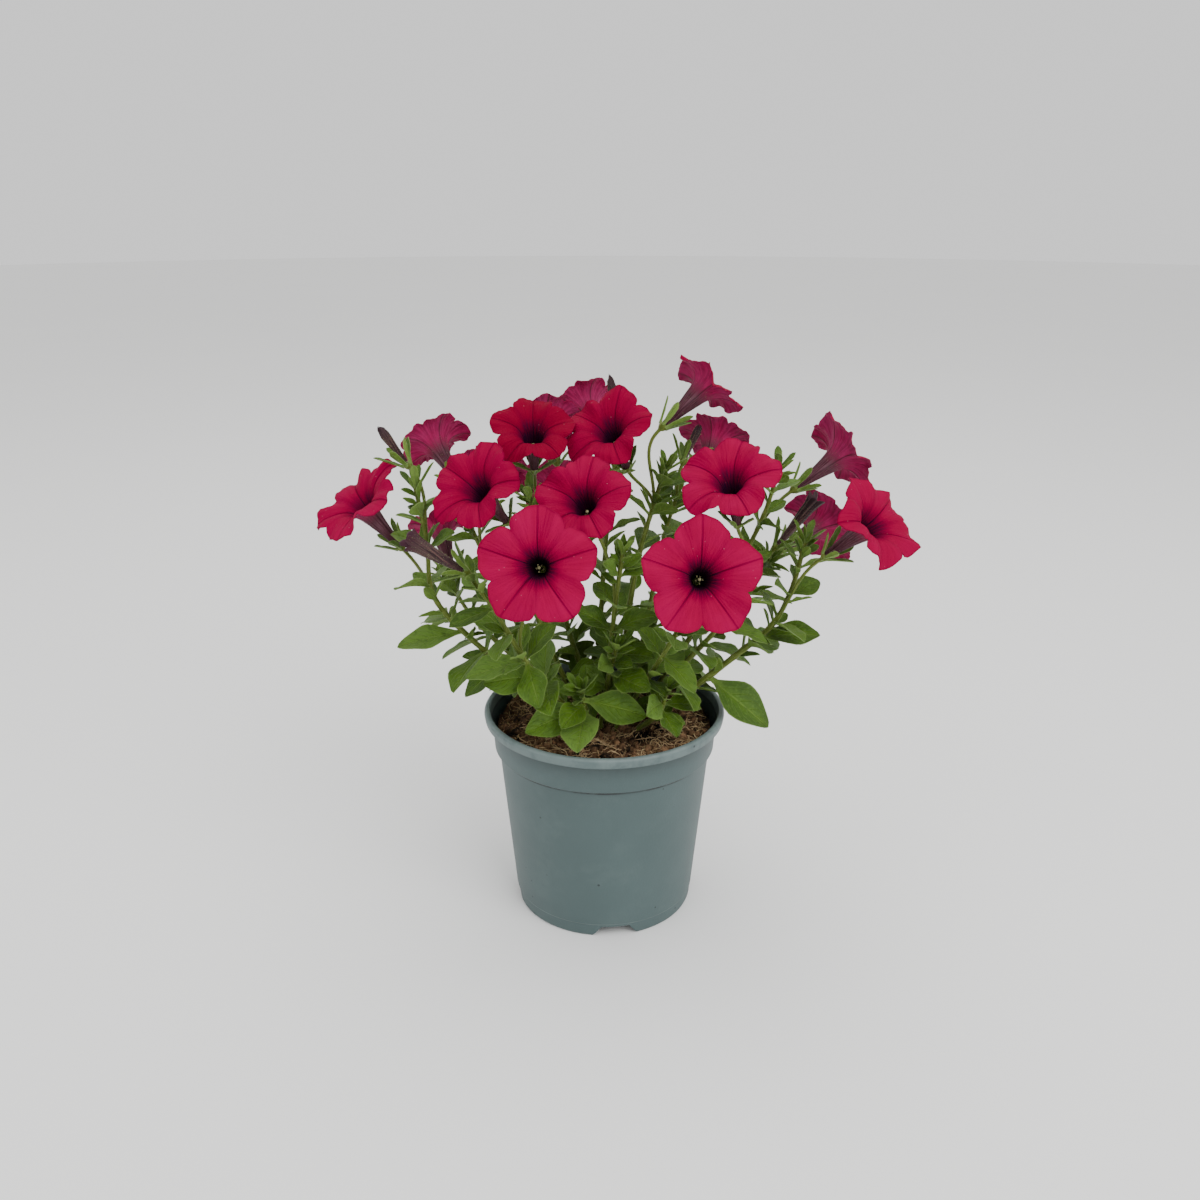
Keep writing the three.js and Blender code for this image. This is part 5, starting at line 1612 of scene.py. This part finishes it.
def make_bloom(flower, number, settings):
    chance, place = np.random.default_rng(PETAL_SEED + number), place_of(flower)
    angles, who = circle(settings.petal_columns), character_of(BLOOM_SEED + number)
    limb = 0.5 + 0.5 * np.linspace(0, 1, LIMB_ROWS) ** 0.85
    shares = np.concatenate([np.linspace(0, 0.5, TUBE_ROWS)[:-1], limb])
    details = (chance.uniform(0, 6.28), int(chance.integers(11, 18)), chance.uniform(0.016, 0.03))
    depths = (FACE_DEPTH, BACK_DEPTH)
    face, back = (corolla(flower, who, place, angles, shares, depth, details) for depth in depths)
    warm = WARMTH.get(flower["name"], 0.3 + 0.3 * chance.random())
    piece = Piece()
    piece.rings(face, 0, warm, shares, flip=True)
    piece.rings(back, 1, warm, shares)
    rim = mix(face[-1], back[-1], 0.5)
    out = rim - place.seat
    out -= np.outer(out @ place.axis, place.axis)
    rim = rim + 0.12 * out / np.linalg.norm(out, axis=1)[:, None]
    piece.rings(np.stack([back[-1], rim, face[-1]]), 0, warm, (0.995, 1, 1))
    piece.rings(np.stack([face[0], back[0]]), 1, warm, (0, 0))
    roots, ways = np.empty((settings.tube_hairs, 3)), np.empty((settings.tube_hairs, 3))
    for k in range(settings.tube_hairs):
        i, j = chance.integers(1, 14), chance.integers(0, len(angles))
        roots[k] = back[i, j]
        ways[k] = unit(unit(roots[k] - place.seat - place.axis * shares[i] * 20) + chance.normal(0, 0.3, 3))
    piece.hairs(roots, ways, TUBE_DOWN, 2, chance, number)
    thing = piece.build(f"petals_{flower['name']}", finishes("petal", "back", "hair"))
    stands_for(thing, f"bloom_{flower['name']}")


def make_blooms(settings):
    """One piece for each bloom: face, back and rolled edge."""
    for number, flower in enumerate((flower for stem in STEMS for flower in stem["blooms"]), 1):
        make_bloom(flower, number, settings)


# Buds.
def make_bud(bud, settings):
    """A furled tube in pleats, split at its tip where it opens or wilts."""
    length, girth, place = bud["length"], bud["girth"], place_of(bud)
    chance = np.random.default_rng(int(length * 10 + girth * 100))
    open_tip = bud["name"] in ("opening", "wilting")
    split, flare, tip_width = (0.18, 0.3, (1, 1.08, 1.2)) if open_tip else (0.12, 0.1, (1, 0.72, 0.14))
    s = np.linspace(0, 1, BUD_RINGS)
    width = np.interp(s, [0, 0.4, 0.68, 0.84, 0.94, 1], [0.6, 0.72, 0.9, *tip_width])
    if open_tip:
        # The mouth's inner wall runs back down to a point.
        s = np.append(s, (0.985, 0.96, 0.92, 0.86))
        width = np.append(width, (0.95, 0.7, 0.4, 0.06))
    s, width, turn = s[:, None], width[:, None], circle(BUD_SIDES)[None]
    fold = np.abs(np.sin(2.5 * turn + 0.7))
    pleats = 0.86 + 0.22 * fold * ramp(0, 0.5, s)
    pleats = pleats + 0.06 * np.abs(np.sin(7.5 * turn)) * ramp(0.3, 0.8, s)
    pleats = pleats + 0.015 * np.sin(24 * turn)
    tips = split * length * (0.4 * fold + 0.6 * np.abs(np.sin(turn + 0.3))) * ramp(0.74, 1, s)
    radial = girth * width * pleats * (1 + flare * fold * ramp(0.84, 1, s))
    height = 0.3 + s * (length - 0.3 - split * length * 0.9) + tips
    out = spokes(place, turn + np.radians(50 * s))
    rings = place.seat + height[..., None] * place.axis + radial[..., None] * out
    piece = Piece()
    piece.rings(rings, 0, 1.0 if bud["name"] == "opening" else 0.25)
    number = int(settings.bud_hairs * length * girth)
    i, j = chance.integers(1, BUD_RINGS - 2, number), chance.integers(0, BUD_SIDES, number)
    ways = unit_rows(out[i, j] + place.axis * 0.35 + chance.normal(0, 0.3, (number, 3)))
    piece.hairs(rings[i, j], ways, BUD_DOWN, 1, chance, BUD_HAIR_SEED)
    stands_for(piece.build(f"furled_{bud['name']}", finishes("bud", "hair")), f"bud_{bud['name']}")


def make_buds(settings):
    """One piece for each bud."""
    for stem in STEMS:
        for bud in stem["buds"]:
            make_bud(bud, settings)


# Stage: floor, light and camera.
def make_stage(settings):
    floor = Piece()
    floor.rings(turned([(radius, 0) for radius in (6000, 2000, 500, 0.1)], FLOOR_SIDES), 0)
    ground = floor.build("stage_floor", finishes("floor"))
    ground.location.z = FLOOR_LEVEL
    world = bpy.data.worlds.new("soft_studio")
    world.use_nodes = True
    sky = world.node_tree.nodes["Background"]
    sky.inputs["Color"].default_value = (1, 1, 1, 1)
    sky.inputs["Strength"].default_value = settings.ambient
    bpy.context.scene.world = world
    for name, (place, size) in LAMPS.items():
        lamp = bpy.data.lights.new(f"{name}_light", "AREA")
        lamp.size = size
        lamp.energy = getattr(settings, name)
        thing = placed(bpy.data.objects.new(lamp.name, lamp))
        thing.location = place
        thing.rotation_euler = (Vector(LIT_POINT) - Vector(place)).to_track_quat("-Z", "Y").to_euler()
    lens = bpy.data.cameras.new("camera")
    lens.lens = CAMERA_LENS
    lens.sensor_width = 36
    eye = placed(bpy.data.objects.new("camera", lens))
    eye.location = CAMERA_PLACE
    eye.rotation_euler = (math.radians(CAMERA_TILT), 0, 0)
    bpy.context.scene.camera = eye


# Properties, operators and panel.
def number_property(kind, name, description, default, low, high, **more):
    return kind(name=name, description=description, default=default, min=low, max=high, **more)


def whole_number(*values):
    return number_property(bpy.props.IntProperty, *values)


def decimal(*values, **more):
    return number_property(bpy.props.FloatProperty, *values, **more)


def lamp_power(name, description, default):
    return bpy.props.FloatProperty(name=name, description=description, default=default, min=0, unit="POWER")


def colour_property(name, description, code):
    return bpy.props.FloatVectorProperty(
        name=name, description=description, subtype="COLOR", size=3, min=0, max=1, default=shade(code)
    )


class PetuniaPot(bpy.types.PropertyGroup):
    """Settings of the pot."""

    sides: whole_number("Sides", "Points round the pot", 144, 36, 240)


class PetuniaSoil(bpy.types.PropertyGroup):
    """Settings of the soil."""

    fibres: whole_number("Fibres", "Coir fibres on the soil", 900, 0, 2000)
    crumbs: whole_number("Crumbs", "Loose crumbs of peat and bark", 1100, 0, 4000)
    peat_colour: colour_property("Peat", "Colour of the damp peat", "261a12")
    fibre_colour: colour_property("Fibre", "Colour of the palest fibres", "e6cca0")


class PetuniaFoliage(bpy.types.PropertyGroup):
    """Settings of the stems and leaves."""

    hairs: decimal("Down", "Hairs for each square millimetre of stem", 0.9, 0, 3)
    extra_leaves: decimal("Small leaves", "How many small leaves are added", 1.0, 0, 3, subtype="FACTOR")
    leaf_colour: colour_property("Leaf", "Colour of a leaf's face", "4b6a14")
    stem_colour: colour_property("Stem", "Colour of the stems", "545f1e")


class PetuniaBlooms(bpy.types.PropertyGroup):
    """Settings of the blooms."""

    petal_columns: whole_number("Columns", "Points round each bloom", 120, 40, 240)
    tube_hairs: whole_number("Tube down", "Hairs on each bloom's tube", 260, 0, 2000)
    face_colour: colour_property("Face", "Colour of the petals' face", "940038")
    warm_colour: colour_property("Warm face", "Redder colour of some faces", "7c0026")
    deep_colour: colour_property("Deep face", "Darker crimson towards the throat", "660028")
    throat_colour: colour_property("Throat", "Colour of the throat", "34082a")
    back_colour: colour_property("Back", "Colour of the petals' back", "9a0c48")


class PetuniaBuds(bpy.types.PropertyGroup):
    """Settings of the buds."""

    bud_hairs: decimal("Down", "How hairy the buds are", 9.0, 0, 40)
    bud_colour: colour_property("Bud", "Colour of the furled buds", "2a151a")


class PetuniaStage(bpy.types.PropertyGroup):
    """Settings of floor and light."""

    ambient: bpy.props.FloatProperty(
        name="Ambient", description="Strength of the even light", default=1.0, min=0
    )
    key: lamp_power("Key", "Power of the main light", 18.0)
    fill: lamp_power("Fill", "Power of the second light", 3.0)
    top: lamp_power("Top", "Power of the light behind", 7.0)


class PETUNIA_OT_stage(bpy.types.Operator):
    """Builds the floor, the lights and the camera"""

    bl_idname = "petunia.stage"
    bl_label = "Stage"

    def execute(self, context):
        make_stage(context.scene.petunia_stage)
        return {"FINISHED"}


class PETUNIA_OT_pot(bpy.types.Operator):
    """Builds the nursery pot"""

    bl_idname = "petunia.pot"
    bl_label = "Pot"

    def execute(self, context):
        make_pot(context.scene.petunia_pot)
        return {"FINISHED"}


class PETUNIA_OT_soil(bpy.types.Operator):
    """Builds the soil with its crumbs and fibres"""

    bl_idname = "petunia.soil"
    bl_label = "Soil"

    def execute(self, context):
        make_soil(context.scene.petunia_soil)
        return {"FINISHED"}


class PETUNIA_OT_foliage(bpy.types.Operator):
    """Builds the stems with their leaves, sepals and down"""

    bl_idname = "petunia.foliage"
    bl_label = "Foliage"

    def execute(self, context):
        make_foliage(context.scene.petunia_foliage)
        return {"FINISHED"}


class PETUNIA_OT_blooms(bpy.types.Operator):
    """Builds the blooms"""

    bl_idname = "petunia.blooms"
    bl_label = "Blooms"

    def execute(self, context):
        make_blooms(context.scene.petunia_blooms)
        return {"FINISHED"}


class PETUNIA_OT_buds(bpy.types.Operator):
    """Builds the furled buds"""

    bl_idname = "petunia.buds"
    bl_label = "Buds"

    def execute(self, context):
        make_buds(context.scene.petunia_buds)
        return {"FINISHED"}


class PETUNIA_PT_panel(bpy.types.Panel):
    """Lists the petunia's pieces and their settings"""

    bl_idname = "PETUNIA_PT_panel"
    bl_label = "Potted petunia"
    bl_space_type = "VIEW_3D"
    bl_region_type = "UI"
    bl_category = "Petunia"

    def draw(self, context):
        for name, (_, operator) in PARTS.items():
            box = self.layout.box()
            box.operator(operator.bl_idname)
            settings = getattr(context.scene, name)
            for key in settings.__annotations__:
                box.prop(settings, key)


PARTS = {
    "petunia_stage": (PetuniaStage, PETUNIA_OT_stage),
    "petunia_pot": (PetuniaPot, PETUNIA_OT_pot),
    "petunia_soil": (PetuniaSoil, PETUNIA_OT_soil),
    "petunia_foliage": (PetuniaFoliage, PETUNIA_OT_foliage),
    "petunia_blooms": (PetuniaBlooms, PETUNIA_OT_blooms),
    "petunia_buds": (PetuniaBuds, PETUNIA_OT_buds),
}


def register():
    for name, (group, operator) in PARTS.items():
        bpy.utils.register_class(group)
        bpy.utils.register_class(operator)
        setattr(bpy.types.Scene, name, bpy.props.PointerProperty(type=group))
    bpy.utils.register_class(PETUNIA_PT_panel)


def unregister():
    bpy.utils.unregister_class(PETUNIA_PT_panel)
    for name, (group, operator) in PARTS.items():
        delattr(bpy.types.Scene, name)
        bpy.utils.unregister_class(operator)
        bpy.utils.unregister_class(group)


def main():
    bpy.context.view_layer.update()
    register()
    bpy.ops.petunia.stage()
    bpy.ops.petunia.pot()
    bpy.ops.petunia.soil()
    bpy.ops.petunia.foliage()
    bpy.ops.petunia.blooms()
    bpy.ops.petunia.buds()


if __name__ == "__main__":
    main()
